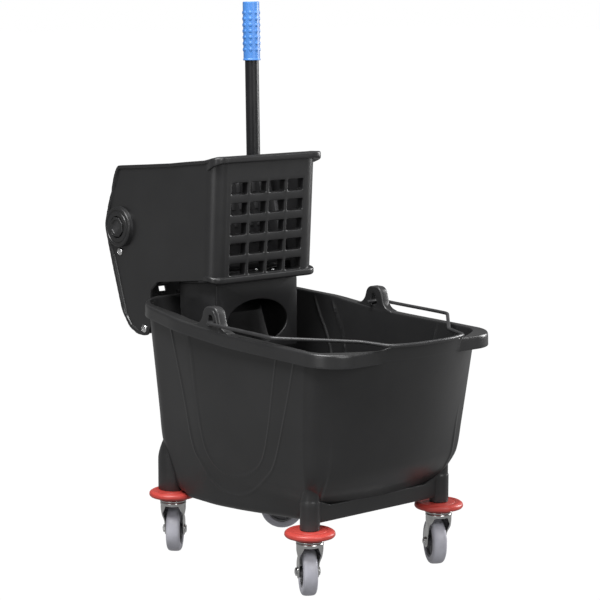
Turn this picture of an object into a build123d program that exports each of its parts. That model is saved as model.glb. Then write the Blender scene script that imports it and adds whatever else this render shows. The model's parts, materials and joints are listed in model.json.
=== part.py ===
from build123d import *
import os
from math import sin, cos, tan, acos, atan, atan2, sqrt, radians, degrees, pi, hypot

# Mop bucket with a side-press wringer, millimetres.
# +X is the pouring end, -X the wringer end, +Z up, wheels on Z = 0.
# Everything below is laid out about the middle of the four caster stems, and
# moved at the end so that the origin is on the floor under the middle of the box.

# ---------------------------------------------------------------- dimensions
ORIGIN_SHIFT_X = 48.0       # moves the caster centre to the box's own centre
ORIGIN_SHIFT_Z = 5.5        # lifts the wheels on to Z = 0

# casters
STEM_X, STEM_Y = 180.0, 149.0       # front caster stems
REAR_X, REAR_Y = -187.0, 142.0      # rear caster stems, set a little closer together
WHEEL_R, WHEEL_W = 40.0, 24.0
TRAIL = 22.0                        # axle behind the swivel axis
AXLE_Z = WHEEL_R - ORIGIN_SHIFT_Z
BUMPER_R, BUMPER_Z0, BUMPER_Z1 = 42.0, 98.4, 110.0
COLLAR_R, COLLAR_Z0 = 20.5, 94.4    # short neck under the bumper
CAP_R, CAP_Z0, CAP_Z1 = 24.0, 91.0, 94.35
PLATE_R, PLATE_Z0, PLATE_Z1 = 22.3, 83.0, 86.0
CUP_R, CUP_Z1 = 20.6, 90.3          # raised edge of the fork round the balls
BALL_R, BALL_PCD_R, BALL_Z, BALL_COUNT = 2.3, 15.0, 88.36, 10
PIN_R = 4.0                         # king pin and wheel axle
STEM_R, STEM_TOP = 5.5, 143.0
RUN = 0.06                          # radial running clearance
SIT = 0.05                          # clearance of parts that sit in each other

# tub: sections are (z, x rear, x front, half width at the front, half width,
# half width at the rear, x where the sides start to draw in, front radius,
# rear radius, bow of the front)
WALL = 4.0
TUB_Z0, FLOOR_TILT = 106.5, 0.022   # the floor rises a little to the front
TUB_SECTIONS = [
    (106.5, -180.0, 157.5, 146.0, 158.5, 148.0, -60.0, 56.0, 40.0, 2.0),
    (148.0, -196.0, 189.0, 158.0, 162.5, 153.0, -67.0, 62.0, 42.0, 4.0),
    (175.0, -210.5, 212.0, 164.5, 165.3, 154.5, -73.0, 65.0, 43.5, 6.0),
    (205.0, -224.0, 228.0, 169.0, 168.0, 155.2, -80.0, 62.0, 45.0, 8.0),
    (250.0, -232.0, 237.0, 172.0, 170.5, 155.2, -84.4, 58.0, 48.5, 14.0),
    (460.0, -264.0, 271.5, 181.0, 182.0, 159.0, -105.0, 53.0, 60.0, 42.0),
]
RIM_X, RIM_Z = 20.0, 420.6          # the rim bends here
RIM_SLOPE_F, RIM_SLOPE_R = 0.033, 0.080
RIM_XF, RIM_XR, RIM_Y, RIM_YR = 276.0, -268.0, 198.0, 166.0
RIM_XM, RIM_RF, RIM_RR = -110.0, 44.0, 85.0
RIM_DROP, RIM_T = 22.5, 3.6
SPOUT_Y, SPOUT_Z = 72.0, 416.0
POST_RF, POST_RR = 16.5, 25.0
GUSSET_DX, GUSSET_TOP = 29.0, 222.0
SKIRT_X, SKIRT_Z0, SKIRT_Z1 = 186.0, 120.0, 148.0

# bail and its ears
BAIL_R, BAIL_X, BAIL_Z, BAIL_Y = 3.0, -17.0, 436.0, 200.0
BAIL_DROP = 0.043                   # slope of the folded bail
EAR_Y0, EAR_Y1, EAR_TOP, EAR_HALF = 178.5, 195.5, 459.0, 45.0

# wringer
AX, AZ = -363.0, 558.3              # lever axle
HX, HZ = -176.0, 498.0              # hinge of the press plate
SIDE_Y, SIDE_T = 118.0, 4.0
GRILLE_T = 15.0
GRILLE_X_TOP, GRILLE_X_BOT = -92.0, -103.5   # front face at z 700 and z 480
HOLE_W, HOLE_H, HOLE_PY, HOLE_PZ = 36.0, 20.5, 42.6, 35.0
HOLE_Z = 571.5                      # middle of the five rows
GEAR_Y0, GEAR_Y1 = 97.0, 103.0
TEETH_P, TEETH_S = 16, 48
PRESS_LEAN = 13.35                  # press plate leans back at rest, degrees
LEVER_TURN = 80.0
LEVER_LEAN = 1.2                    # the handle stands back this much at rest
TUBE_R, TUBE_T = 12.7, 1.6
TUBE_DX, LEVER_Y = 70.8, 137.0      # handle ahead of the axle, outside the wall
GRIP_R, GRIP_Z0, GRIP_Z1 = 15.6, 850.0, 956.5

nodes = {}


# ------------------------------------------------------------------- helpers
def rounded(points, radii, to3d):
    """Closed face from a polygon with its own radius at each corner."""
    n = len(points)
    starts, ends, mids = [], [], []
    for i in range(n):
        px, py = points[i]
        ax, ay = points[i - 1]
        bx, by = points[(i + 1) % n]
        la, lb = hypot(ax - px, ay - py), hypot(bx - px, by - py)
        ua = ((ax - px) / la, (ay - py) / la)
        ub = ((bx - px) / lb, (by - py) / lb)
        r = radii[i]
        if r <= 0:
            starts.append((px, py)); ends.append((px, py)); mids.append(None)
            continue
        half = acos(max(-1, min(1, ua[0] * ub[0] + ua[1] * ub[1]))) / 2
        t = r / tan(half)
        bis = (ua[0] + ub[0], ua[1] + ub[1])
        lbis = hypot(*bis)
        bis = (bis[0] / lbis, bis[1] / lbis)
        d = r / sin(half) - r
        starts.append((px + ua[0] * t, py + ua[1] * t))
        ends.append((px + ub[0] * t, py + ub[1] * t))
        mids.append((px + bis[0] * d, py + bis[1] * d))
    edges = []
    for i in range(n):
        if mids[i] is not None:
            edges.append(ThreePointArc(to3d(*starts[i]), to3d(*mids[i]), to3d(*ends[i])))
        a, b = ends[i], starts[(i + 1) % n]
        if hypot(a[0] - b[0], a[1] - b[1]) > 1e-6:
            edges.append(Line(to3d(*a), to3d(*b)))
    return Face(Wire(edges))


def at_z(z):
    return lambda u, v: (u, v, z)


def at_y(y):
    return lambda u, v: (u, y, v)


def block(x0, x1, y0, y1, z0, z1):
    return Pos((x0 + x1) / 2, (y0 + y1) / 2, (z0 + z1) / 2) * Box(x1 - x0, y1 - y0, z1 - z0)


def rod_z(x, y, z0, z1, r):
    return Pos(x, y, (z0 + z1) / 2) * Cylinder(r, z1 - z0)


def rod_y(x, z, y0, y1, r):
    return Pos(x, (y0 + y1) / 2, z) * Rot(90, 0, 0) * Cylinder(r, y1 - y0)


def slab_y(face_points, radii, y0, y1):
    """Plate with its outline in XZ, from y0 to y1."""
    f = rounded(face_points, radii, at_y(y0))
    return extrude(f, amount=y1 - y0, dir=(0, 1, 0))


def about_y(shape, x, z, degrees_turn):
    return Pos(x, 0, z) * Rot(0, degrees_turn, 0) * Pos(-x, 0, -z) * shape


def one(shape):
    """The single solid of a boolean result."""
    s = shape.solids()
    return s[0] if len(s) == 1 else max(s, key=lambda q: q.volume)


def keep(name, shape, parts=None):
    nodes[name] = shape


def stem_at(sx, sy):
    """Plan position of a caster stem, by the signs of its corner."""
    return (STEM_X, sy * STEM_Y) if sx > 0 else (REAR_X, sy * REAR_Y)


# ----------------------------------------------------------------- bucket tub
def tub_face(sec, grow, tilt=0.0):
    z, xr, xf, yf, y, yr, xm, rf, rr, bow = sec
    xr, xf, yf, y, yr = xr - grow, xf + grow, yf + grow, y + grow, yr + grow
    pts = [(xf, -yf), (xf, -88 - grow / 2), (xf + bow, -48 - grow / 2), (xf + bow, 48 + grow / 2), (xf, 88 + grow / 2),
           (xf, yf), (xm, y), (xr, yr), (xr, -yr), (xm, -y)]
    rad = [rf + grow, 44.0, 44.0, 44.0, 44.0, rf + grow, 220.0, rr + grow, rr + grow, 220.0]
    return rounded(pts, rad, lambda u, v: (u, v, z + tilt * (u + 60.0)))


def rim_face(grow, z):
    xr, xf, y, yr = RIM_XR - grow, RIM_XF + grow, RIM_Y + grow, RIM_YR + grow
    pts = [(xf, -y), (xf, y), (RIM_XM, y), (xr, yr), (xr, -yr), (RIM_XM, -y)]
    rad = [RIM_RF + grow, RIM_RF + grow, 220.0, RIM_RR + grow, RIM_RR + grow, 220.0]
    return rounded(pts, rad, at_z(z))


def tilted(shape):
    """A level rim feature bent down to the front and up to the rear."""
    front = about_y(shape, RIM_X, RIM_Z, degrees(atan(RIM_SLOPE_F))) & block(RIM_X, 500, -400, 400, 0, 600)
    rear = about_y(shape, RIM_X, RIM_Z, degrees(atan(RIM_SLOPE_R))) & block(-500, RIM_X, -400, 400, 0, 600)
    return front + rear


def rim_top(x):
    return RIM_Z - (x - RIM_X) * (RIM_SLOPE_F if x > RIM_X else RIM_SLOPE_R)


outer = loft([tub_face(s, 0, FLOOR_TILT if i == 0 else 0.0) for i, s in enumerate(TUB_SECTIONS)], ruled=True)
inner_secs = [list(s) for s in TUB_SECTIONS]
floor_t = (TUB_Z0 + WALL - TUB_SECTIONS[0][0]) / (TUB_SECTIONS[1][0] - TUB_SECTIONS[0][0])
inner_secs[0] = [a + (b - a) * floor_t for a, b in zip(TUB_SECTIONS[0], TUB_SECTIONS[1])]
cavity = loft([tub_face(s, -WALL, FLOOR_TILT if i == 0 else 0.0) for i, s in enumerate(inner_secs)], ruled=True)

below_rim = tilted(block(-420, 420, -320, 320, 60, RIM_Z))
# the bowed front is taller between the ends of the rim, as a pouring lip
lip_zone = block(200, 360, -SPOUT_Y, SPOUT_Y, 300, SPOUT_Z)
walls = outer & (below_rim + lip_zone)

# flat ledge and turned-down band of the rim
ledge = extrude(rim_face(0, RIM_Z - RIM_T), amount=RIM_T)
band = extrude(rim_face(0, RIM_Z - RIM_DROP), amount=RIM_DROP) - extrude(
    rim_face(-RIM_T, RIM_Z - RIM_DROP - 1), amount=RIM_DROP + 2)
rim = tilted(ledge + band)
# the rim is open at the spout
rim = rim - block(238, 340, -SPOUT_Y + 2, SPOUT_Y - 2, 360, 470)

# columns that carry the casters, and the end skirts between them
posts = None
for sx, r in ((1, POST_RF), (-1, POST_RR)):
    for sy in (1, -1):
        x, y = stem_at(sx, sy)
        p = rod_z(x, y, BUMPER_Z1 + 0.2, 158, r)
        if sx > 0:
            # a leaning half cone carries the front column up into the corner
            p = p + loft([Pos(x, y, 158) * Circle(r), Pos(x + GUSSET_DX, y + sy * 2, GUSSET_TOP) * Circle(5.0)], ruled=True)
        else:
            p = p + Pos(x, y, 158 + 27) * Cone(r, r * 0.45, 54)
        posts = p if posts is None else posts + p
front_pts = [(-STEM_Y, SKIRT_Z0), (STEM_Y, SKIRT_Z0), (STEM_Y, 157), (134, 156), (108, SKIRT_Z1 - 2),
             (-108, SKIRT_Z1 - 2), (-134, 156), (-STEM_Y, 157)]
front_skirt = extrude(rounded(front_pts, [0, 0, 0, 8, 12, 12, 8, 0], lambda u, v: (SKIRT_X - 6, u, v)), amount=6, dir=(1, 0, 0))
skirts = front_skirt + block(-206, -200, -REAR_Y, REAR_Y, SKIRT_Z0, SKIRT_Z1)
for s in (1, -1):
    y0, y1 = (STEM_Y - 3, STEM_Y + 3) if s > 0 else (-STEM_Y - 3, -STEM_Y + 3)
    skirts = skirts + block(-STEM_X, STEM_X, y0, y1, SKIRT_Z0 - 2.5, SKIRT_Z0 + 12)

tub = walls + rim + posts + skirts

# ears for the bail
ear_pts = [(BAIL_X - EAR_HALF, rim_top(BAIL_X - EAR_HALF) - 6), (BAIL_X - EAR_HALF, rim_top(BAIL_X - EAR_HALF) - 0.4),
           (BAIL_X - 19, rim_top(BAIL_X - 19) + 5), (BAIL_X - 11, EAR_TOP), (BAIL_X + 13, EAR_TOP),
           (BAIL_X + 21, rim_top(BAIL_X + 21) + 5), (BAIL_X + EAR_HALF, rim_top(BAIL_X + EAR_HALF) - 0.4),
           (BAIL_X + EAR_HALF, rim_top(BAIL_X + EAR_HALF) - 6)]
ear_rad = [0, 0, 24, 12, 12, 24, 0, 0]
for s in (1, -1):
    y0, y1 = (EAR_Y0, EAR_Y1) if s > 0 else (-EAR_Y1, -EAR_Y0)
    tub = tub + slab_y(ear_pts, ear_rad, y0, y1)

inside = cavity & tilted(block(-420, 420, -320, 320, 60, RIM_Z + 30))
# the opening stops short of the ears
inside = inside - block(BAIL_X - 60, BAIL_X + 60, EAR_Y0, 260, RIM_Z - 4, 520) - block(
    BAIL_X - 60, BAIL_X + 60, -260, -EAR_Y0, RIM_Z - 4, 520)
tub = tub - inside
# the floor is raised over the rear bumpers
for sy in (1, -1):
    x, y = stem_at(-1, sy)
    tub = tub + (rod_z(x, y, 100, BUMPER_Z1 + 0.2 + WALL, BUMPER_R + 1.5 + WALL) & outer)
for s in (1, -1):
    tub = tub - rod_y(BAIL_X, BAIL_Z, min(s * 165, s * 205), max(s * 165, s * 205), BAIL_R + RUN)
for sx in (1, -1):
    for sy in (1, -1):
        x, y = stem_at(sx, sy)
        tub = tub - rod_z(x, y, 100, STEM_TOP + 1, STEM_R + SIT)
        # the bumpers sit in shallow seats where the floor is lowest
        tub = tub - rod_z(x, y, 60, BUMPER_Z1 + 0.2, BUMPER_R + 1.5)
keep("bucket_tub", one(tub))


# --------------------------------------------------------------------- bail
def bail_point(x, y):
    return (x, y, BAIL_Z - BAIL_DROP * (x - BAIL_X))


half = [(BAIL_X, 170.0), (BAIL_X, BAIL_Y), (146.0, BAIL_Y), (247.0, 100.0), (296.0, 84.0), (309.0, 44.0)]
pts = [bail_point(*p) for p in half] + [bail_point(x, -y) for x, y in reversed(half)]
rad = [4.3, 22.0, 26.0, 16.0, 160.0, 160.0, 16.0, 26.0, 22.0, 4.3]
path = FilletPolyline(*pts, radius=rad)
start = Plane(origin=pts[0], z_dir=(0, 1, 0))
bail = sweep(start * Circle(BAIL_R), path=path)
keep("bail_wire", one(bail))


# ------------------------------------------------------------------ casters
# name: (x sign, y sign, swivel angle of the trail direction in degrees)
CASTERS = {
    "front_right": (1, -1, 146.5),
    "front_left": (1, 1, 150.0),
    "rear_right": (-1, -1, 134.0),
    "rear_left": (-1, 1, -131.0),
}
HEX = 6.5


def hexagon_prism(across, h):
    return extrude(RegularPolygon(radius=across, side_count=6), amount=h)


for name, (sx, sy, ang) in CASTERS.items():
    x, y = stem_at(sx, sy)
    # soft bumper ring round the stem, with a short neck under it
    b = Cylinder(BUMPER_R, BUMPER_Z1 - BUMPER_Z0)
    b = fillet(b.edges(), 5.5)
    b = Pos(0, 0, (BUMPER_Z0 + BUMPER_Z1) / 2) * b + rod_z(0, 0, COLLAR_Z0, BUMPER_Z0 + 2, COLLAR_R)
    b = b - rod_z(0, 0, 80, 120, STEM_R + SIT)
    keep("bumper_" + name, Pos(x, y, 0) * one(b))
    # stem with its pressed cap, king pin and rivet head
    s = rod_z(0, 0, CAP_Z0 + 1, STEM_TOP, STEM_R)
    s = s + rod_z(0, 0, CAP_Z0, CAP_Z1, CAP_R)
    s = s + rod_z(0, 0, 80, CAP_Z0 + 1, PIN_R) + rod_z(0, 0, 78.6, 82.6, 6.5)
    keep("caster_stem_" + name, Pos(x, y, 0) * one(s))
    # swivel balls between the cap and the fork
    balls = [Pos(BALL_PCD_R * cos(2 * pi * k / BALL_COUNT), BALL_PCD_R * sin(2 * pi * k / BALL_COUNT), BALL_Z)
             * Sphere(BALL_R) for k in range(BALL_COUNT)]
    keep("swivel_balls_" + name, Pos(x, y, 0) * Compound(children=[q.solid() for q in balls]))
    # stamped fork: plate with a rolled edge and two legs
    leg_in, leg_t = WHEEL_W / 2 + 2.6, 2.6
    f = rod_z(0, 0, PLATE_Z0, CUP_Z1, PLATE_R) - rod_z(0, 0, PLATE_Z1, CUP_Z1 + 1, CUP_R)
    leg_pts = [(-19, PLATE_Z1), (19, PLATE_Z1), (TRAIL + 12.5, AXLE_Z + 6), (TRAIL + 10, AXLE_Z - 11),
               (TRAIL - 10, AXLE_Z - 11), (TRAIL - 16, AXLE_Z + 10)]
    for s_ in (1, -1):
        y0, y1 = (leg_in, leg_in + leg_t) if s_ > 0 else (-leg_in - leg_t, -leg_in)
        f = f + slab_y(leg_pts, [3, 3, 9, 9.5, 9.5, 14], y0, y1)
    f = f + block(-15, 19, -leg_in - 1, leg_in + 1, PLATE_Z0, PLATE_Z1)
    f = f - rod_z(0, 0, 60, 90, PIN_R + RUN)
    f = f - rod_y(TRAIL, AXLE_Z, -40, 40, PIN_R + SIT)
    turn = Pos(x, y, 0) * Rot(0, 0, ang)
    keep("caster_fork_" + name, turn * one(f))
    # axle bolt and nut
    out = leg_in + leg_t
    bolt = rod_y(TRAIL, AXLE_Z, -out, out + 4.6, PIN_R)
    bolt = bolt + Pos(TRAIL, -out, AXLE_Z) * Rot(90, 0, 0) * hexagon_prism(HEX + 0.5, 3.2)
    keep("axle_bolt_" + name, turn * one(bolt))
    nut = Pos(TRAIL, out + 3.8, AXLE_Z) * Rot(90, 0, 0) * hexagon_prism(HEX + 0.5, 3.8)
    nut = nut - rod_y(TRAIL, AXLE_Z, 0, 60, PIN_R + SIT)
    keep("axle_nut_" + name, turn * one(nut))
    # wheel: moulded core and a tyre round it
    core_r = 27.5
    c = rod_y(TRAIL, AXLE_Z, -WHEEL_W / 2 + 1.6, WHEEL_W / 2 - 1.6, core_r)
    for s_ in (1, -1):
        ring = rod_y(TRAIL, AXLE_Z, min(s_ * 7.4, s_ * 14), max(s_ * 7.4, s_ * 14), 24.0)
        c = c - ring
        c = c + rod_y(TRAIL, AXLE_Z, min(s_ * 7.0, s_ * (leg_in - 0.4)), max(s_ * 7.0, s_ * (leg_in - 0.4)), 9.0)
    c = c - rod_y(TRAIL, AXLE_Z, -30, 30, PIN_R + RUN)
    keep("wheel_core_" + name, turn * one(c))
    t = Rot(90, 0, 0) * Cylinder(WHEEL_R, WHEEL_W)
    t = fillet(t.edges(), 5.5)
    t = Pos(TRAIL, 0, AXLE_Z) * t - rod_y(TRAIL, AXLE_Z, -30, 30, core_r + 0.02)
    keep("tyre_" + name, turn * one(t))

# ------------------------------------------------------------------ wringer
# side view of the wringer, clockwise from the top of the grille
SIDE = [(-80.0, 698.0), (-104.0, 694.5), (-219.0, 680.8), (-288.0, 674.8), (-368.0, 668.2),
        (-376.5, 655.0), (-399.5, 589.0), (-408.0, 559.0), (-400.0, 530.0), (-382.0, 474.0),
        (-359.0, 406.0), (-337.0, 379.0), (-314.0, 369.5), (-288.0, 368.5), (-278.0, 388.0),
        (-278.0, 453.0), (-258.0, 468.5), (-113.0, 484.5), (-80.0, 480.5)]
SIDE_RAD = [0, 0, 0, 0, 9, 0, 40, 0, 40, 0, 30, 0, 12, 14, 14, 12, 10, 0, 0]


def side_slab(y0, y1):
    return slab_y(SIDE, SIDE_RAD, y0, y1)


def basket_face(z, grow_side, grow_front, corner=21.0):
    t = (z - 480.0) / 220.0
    xf = GRILLE_X_BOT + (GRILLE_X_TOP - GRILLE_X_BOT) * t - grow_front
    y = SIDE_Y - grow_side
    pts = [(xf, -y), (xf, y), (-440, y), (-440, -y)]
    r = corner - grow_side
    return rounded(pts, [r, r, 0, 0], at_z(z))


b_out = loft([basket_face(360, 0, 0), basket_face(706, 0, 0)], ruled=True)
b_in = loft([basket_face(350, SIDE_T, GRILLE_T), basket_face(716, SIDE_T, GRILLE_T)], ruled=True)
shell = (b_out - b_in) & side_slab(-150, 150)
# lips along the top and the foot of the grille, round its corners
def lip(z0, z1, grow, side):
    f0 = basket_face(z0, -side, -grow, 7.0)
    ring = extrude(f0, amount=z1 - z0) - extrude(basket_face(z0 - 1, 1.5, 2.5), amount=z1 - z0 + 2)
    return ring & block(-118, -60, -140, 140, z0 - 1, z1 + 1)


shell = shell + lip(688.5, 697.8, 7.5, 2.6) + lip(480, 489, 4.5, 1.4)
# raised border along the top and back edges of both sides
frame_in = [(-60.0, 692.5), (-104.0, 688.2), (-219.0, 674.4), (-288.0, 668.4), (-363.0, 662.2),
            (-370.0, 653.0), (-393.0, 588.0), (-401.0, 559.0), (-393.5, 531.0), (-375.5, 475.0),
            (-353.0, 408.5), (-332.0, 384.5), (-312.0, 376.0), (-286.0, 375.0), (-262.0, 370.0), (-60.0, 370.0)]
for s in (1, -1):
    y0, y1 = (SIDE_Y - 1, SIDE_Y + 2.6) if s > 0 else (-SIDE_Y - 2.6, -SIDE_Y + 1)
    border = side_slab(y0, y1) - slab_y(frame_in, [0] * len(frame_in), y0 - 1, y1 + 1)
    border = border & (block(-430, -112, y0 - 1, y1 + 1, 655, 720) + block(-430, -296, y0 - 1, y1 + 1, 360, 656))
    shell = shell + border
# floor of the press with drain slots, and the saddle that hangs on the rear rim
floor_pts = [(-104, 489.0), (-104, 484.6), (-150, 479.4), (-232, 470.4), (-232, 474.8), (-150, 483.8)]
floor_plate = slab_y(floor_pts, [0] * 6, -94, 94)
floor_plate = floor_plate + slab_y([(-104, 489.0), (-104, 484.6), (-146, 480.0), (-146, 484.4)], [0] * 4, -SIDE_Y + 2, SIDE_Y - 2)
for k in range(7):
    yy = -66 + 22 * k
    floor_plate = floor_plate - block(-158, -121, yy - 4, yy + 4, 460, 500)
rim_rear_z = rim_top(-268.0)
saddle = block(-275.0, -230, -62, 62, rim_rear_z + 0.8, rim_rear_z + 4.8)
saddle = saddle + block(-275.0, -271.0, -62, 62, rim_rear_z - 12, rim_rear_z + 4.8)
saddle = saddle + block(-234, -230, -62, 62, rim_rear_z - 20, rim_rear_z + 4.8)
for yy in (-60, 56):
    saddle = saddle + block(-270, -225.6, yy, yy + 4, rim_rear_z + 4, 473)
shell = shell + floor_plate + saddle
# round bosses for the lever axle
for s in (1, -1):
    y0, y1 = (SIDE_Y - 1, SIDE_Y + 6) if s > 0 else (-SIDE_Y - 6, -SIDE_Y + 1)
    shell = shell + rod_y(AX, AZ, y0, y1, 36.0)
    yy = (SIDE_Y + 3, SIDE_Y + 9) if s > 0 else (-SIDE_Y - 9, -SIDE_Y - 3)
    shell = shell - rod_y(AX, AZ, yy[0], yy[1], 19.0)
    hub = (SIDE_Y - 12, SIDE_Y - 3.5) if s > 0 else (-SIDE_Y + 3.5, -SIDE_Y + 12)
    shell = shell + rod_y(AX, AZ, hub[0], hub[1], 20.0)
    # small bosses that hold the hinge pin of the press plate
    hb = (SIDE_Y - 12.5, SIDE_Y - 3) if s > 0 else (-SIDE_Y + 3, -SIDE_Y + 12.5)
    shell = shell + rod_y(HX, HZ, hb[0], hb[1], 11.0)
shell = shell - rod_y(AX, AZ, -130, 130, 12.0 + SIT)
shell = shell - rod_y(HX, HZ, -SIDE_Y + 5, SIDE_Y - 5, 5.0 + SIT)
# grille: four columns and five rows of holes
holes = None
for i in range(4):
    for j in range(5):
        yy = (i - 1.5) * HOLE_PY
        zz = HOLE_Z + (j - 2) * HOLE_PZ
        h = block(-130, -70, yy - HOLE_W / 2, yy + HOLE_W / 2, zz - HOLE_H / 2, zz + HOLE_H / 2)
        holes = h if holes is None else holes + h
shell = shell - holes
# screw holes for the rear cover
COVER_SCREWS = [(-365.4, 513.4), (-296.0, 381.0)]
for cx, cz in COVER_SCREWS:
    shell = shell - rod_y(cx, cz, -130, 130, 2.2)
# screw holes for the drip skirt
SKIRT_SCREWS = [(-170.0, -76.0), (-170.0, 76.0), (-215.0, -76.0), (-215.0, 76.0)]
for cx, cy in SKIRT_SCREWS:
    shell = shell - rod_z(cx, cy, 450, 500, 2.1)
keep("wringer_basket", one(shell))

# rear cover: back wall, hood and the foot behind the tub, between the sides
OUT = [(-293, 663.6), (-365.5, 657.8), (-372.5, 652.2), (-395, 588.2), (-403, 559), (-395.5, 531), (-377.5, 474.8),
       (-355, 408.2), (-334.5, 382.8), (-313, 373.9), (-287, 372.9)]
INN = [(-287, 376.9), (-311.8, 377.9), (-331.5, 386), (-351.5, 410.2), (-373.7, 476.2), (-391.4, 532), (-399, 559),
       (-391, 587.2), (-369.3, 650.2), (-364, 653.8), (-293, 659.6)]
cover = slab_y(OUT + INN, [0] * (len(OUT) + len(INN)), -SIDE_Y + SIDE_T + 0.2, SIDE_Y - SIDE_T - 0.2)
for s in (1, -1):
    for (cx, cz), rib in zip(COVER_SCREWS, (block(-390, -366, 105.6, 113.8, 510, 517), block(-302, -290, 105.6, 113.8, 374, 383))):
        b = rod_y(cx, cz, 105.6, 113.8, 6.5) + rib
        b = b - rod_y(cx, cz, 95, 125, 2.1)
        if s < 0:
            b = mirror(b, Plane.XZ)
        cover = cover + b
# keep the boss clear of the axle hub
cover = cover - rod_y(AX, AZ, -SIDE_Y, SIDE_Y, 20.6)
# two slots through the back, level with the tub's rim
for s in (1, -1):
    cover = cover - block(-430, -320, min(s * 18, s * 34), max(s * 18, s * 34), 433.5, 442.5)
for s in (1, -1):
    for cx, cz in COVER_SCREWS:
        cover = cover - rod_y(cx, cz, min(s * 104, s * 118), max(s * 104, s * 118), 2.1)
keep("rear_cover", one(cover))

# drip skirt under the basket, with an oval opening in front
SK_Z0, SK_Y = 352.0, 93.0
sk = block(-128, -124, -SK_Y, SK_Y, SK_Z0, 479.5)
oval = extrude(Plane(origin=(-140, 0, 402), z_dir=(1, 0, 0)) * Ellipse(40, 70), amount=40)
sk = sk - oval
for s in (1, -1):
    y0, y1 = (SK_Y - 4, SK_Y) if s > 0 else (-SK_Y, -SK_Y + 4)
    sk = sk + slab_y([(-125, SK_Z0), (-125, 479.5), (-225, 468.5), (-225, 425), (-196, SK_Z0)], [0, 0, 0, 12, 20], y0, y1)
    fl = (SK_Y - 25, SK_Y - 1) if s > 0 else (-SK_Y + 1, -SK_Y + 25)
    sk = sk + slab_y([(-125, 477.7), (-125, 481.7), (-150, 479.0), (-225, 470.8), (-225, 466.8), (-150, 475.0)], [0] * 6, fl[0], fl[1])
sk = sk + block(-225, -221, -SK_Y, SK_Y, 404, 469)
sk = sk - rod_y(HX, HZ, -200, 200, 18)
sk = sk - slab_y([(-100, 484.9), (-100, 520), (-240, 520), (-240, 469.4), (-150, 479.3)], [0] * 5, -120, 120)
for cx, cy in SKIRT_SCREWS:
    sk = sk - rod_z(cx, cy, 450, 500, 2.1)
keep("drip_skirt", one(sk))


def cross_screw(length):
    """Pan-head cross screw along +Z under its head, head on top."""
    h = Pos(0, 0, 1.5) * Cylinder(4.8, 3.0)
    h = fillet(h.edges().sort_by(Axis.Z)[-1], 1.4)
    h = h - Pos(0, 0, 2.6) * Box(5.6, 1.1, 2.0) - Pos(0, 0, 2.6) * Box(1.1, 5.6, 2.0)
    return one(h + Pos(0, 0, -length / 2 + 0.2) * Cylinder(2.0, length + 0.4))


screws = []
for s in (1, -1):
    for cx, cz in COVER_SCREWS:
        q = cross_screw(9.5)
        # outside faces: the border is raised, so the heads sit on the wall or the border
        face = SIDE_Y + 0.03
        q = Rot(-90, 0, 0) * q if s > 0 else Rot(90, 0, 0) * q
        screws.append((Pos(cx, s * face, cz) * q).solid())
keep("cover_screws", Compound(children=screws))
screws = []
for cx, cy in SKIRT_SCREWS:
    top = 483.8 + (cx + 150) * 0.1098
    q = Pos(cx, cy, top + 0.64) * cross_screw(9.0)
    screws.append(q.solid())
keep("skirt_screws", Compound(children=screws))

# bushings of the lever axle, pressed into the bosses from outside
for s, nm in ((-1, "right"), (1, "left")):
    lo, hi = (SIDE_Y - 11.4, SIDE_Y + 3) if s > 0 else (-SIDE_Y - 3, -SIDE_Y + 11.4)
    bsh = rod_y(AX, AZ, lo, hi, 12.0)
    fl = (SIDE_Y + 3, SIDE_Y + 4.6) if s > 0 else (-SIDE_Y - 4.6, -SIDE_Y - 3)
    bsh = bsh + rod_y(AX, AZ, fl[0], fl[1], 17.0)
    bsh = bsh - rod_y(AX, AZ, -150, 150, 8.0 + RUN)
    keep("axle_bushing_" + nm, one(bsh))
# cap over the blind end of the axle
oct_face = extrude(RegularPolygon(radius=18.6, side_count=8), amount=3.6)
cap = Pos(AX, -SIDE_Y - 4.7, AZ) * Rot(90, 0, 0) * oct_face
cap = cap - rod_y(AX, AZ, -SIDE_Y - 12, -SIDE_Y - 6.9, 12.5)
keep("pivot_cap", one(cap))
# hinge pin of the press plate
keep("press_hinge_pin", one(rod_y(HX, HZ, -SIDE_Y + 5, SIDE_Y - 5, 5.0)))

# -------------------------------------------------------------------- gears
dist = hypot(AX - HX, AZ - HZ)
PITCH_P = dist * TEETH_P / (TEETH_P + TEETH_S)
PITCH_S = dist * TEETH_S / (TEETH_P + TEETH_S)
MODULE = 2 * PITCH_P / TEETH_P
MESH_P = atan2(HZ - AZ, HX - AX)       # direction of the mesh seen from the axle
MESH_S = atan2(AZ - HZ, AX - HX)


def inv(a):
    return tan(a) - a


def tooth_outline(teeth, pitch_r, first, count, slack):
    """Points of `count` involute teeth, the first centred on angle `first`."""
    pa = radians(20)
    base = pitch_r * cos(pa)
    tip = pitch_r + 0.78 * MODULE
    root = pitch_r - 1.05 * MODULE
    half0 = pi / (2 * teeth) - slack / (2 * pitch_r)
    out = []
    lo = max(base, root)
    for k in range(count):
        mid = first + 2 * pi * k / teeth
        flank = []
        if root < base:
            a = half0 + inv(pa)
            flank.append((root, a))
        for j in range(6):
            r = lo + (tip - lo) * j / 5
            flank.append((r, half0 + inv(pa) - inv(acos(min(1.0, base / r)))))
        for r, a in flank:
            out.append((r * cos(mid - a), r * sin(mid - a)))
        for r, a in reversed(flank):
            out.append((r * cos(mid + a), r * sin(mid + a)))
    return out, root, tip


def poly_slab(points, cx, cz, y0, y1):
    pts = [(cx + u, y0, cz + v) for u, v in points]
    w = Wire([Line(pts[i], pts[(i + 1) % len(pts)]) for i in range(len(pts))])
    return extrude(Face(w), amount=y1 - y0, dir=(0, 1, 0))


SLACK = 0.5
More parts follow.
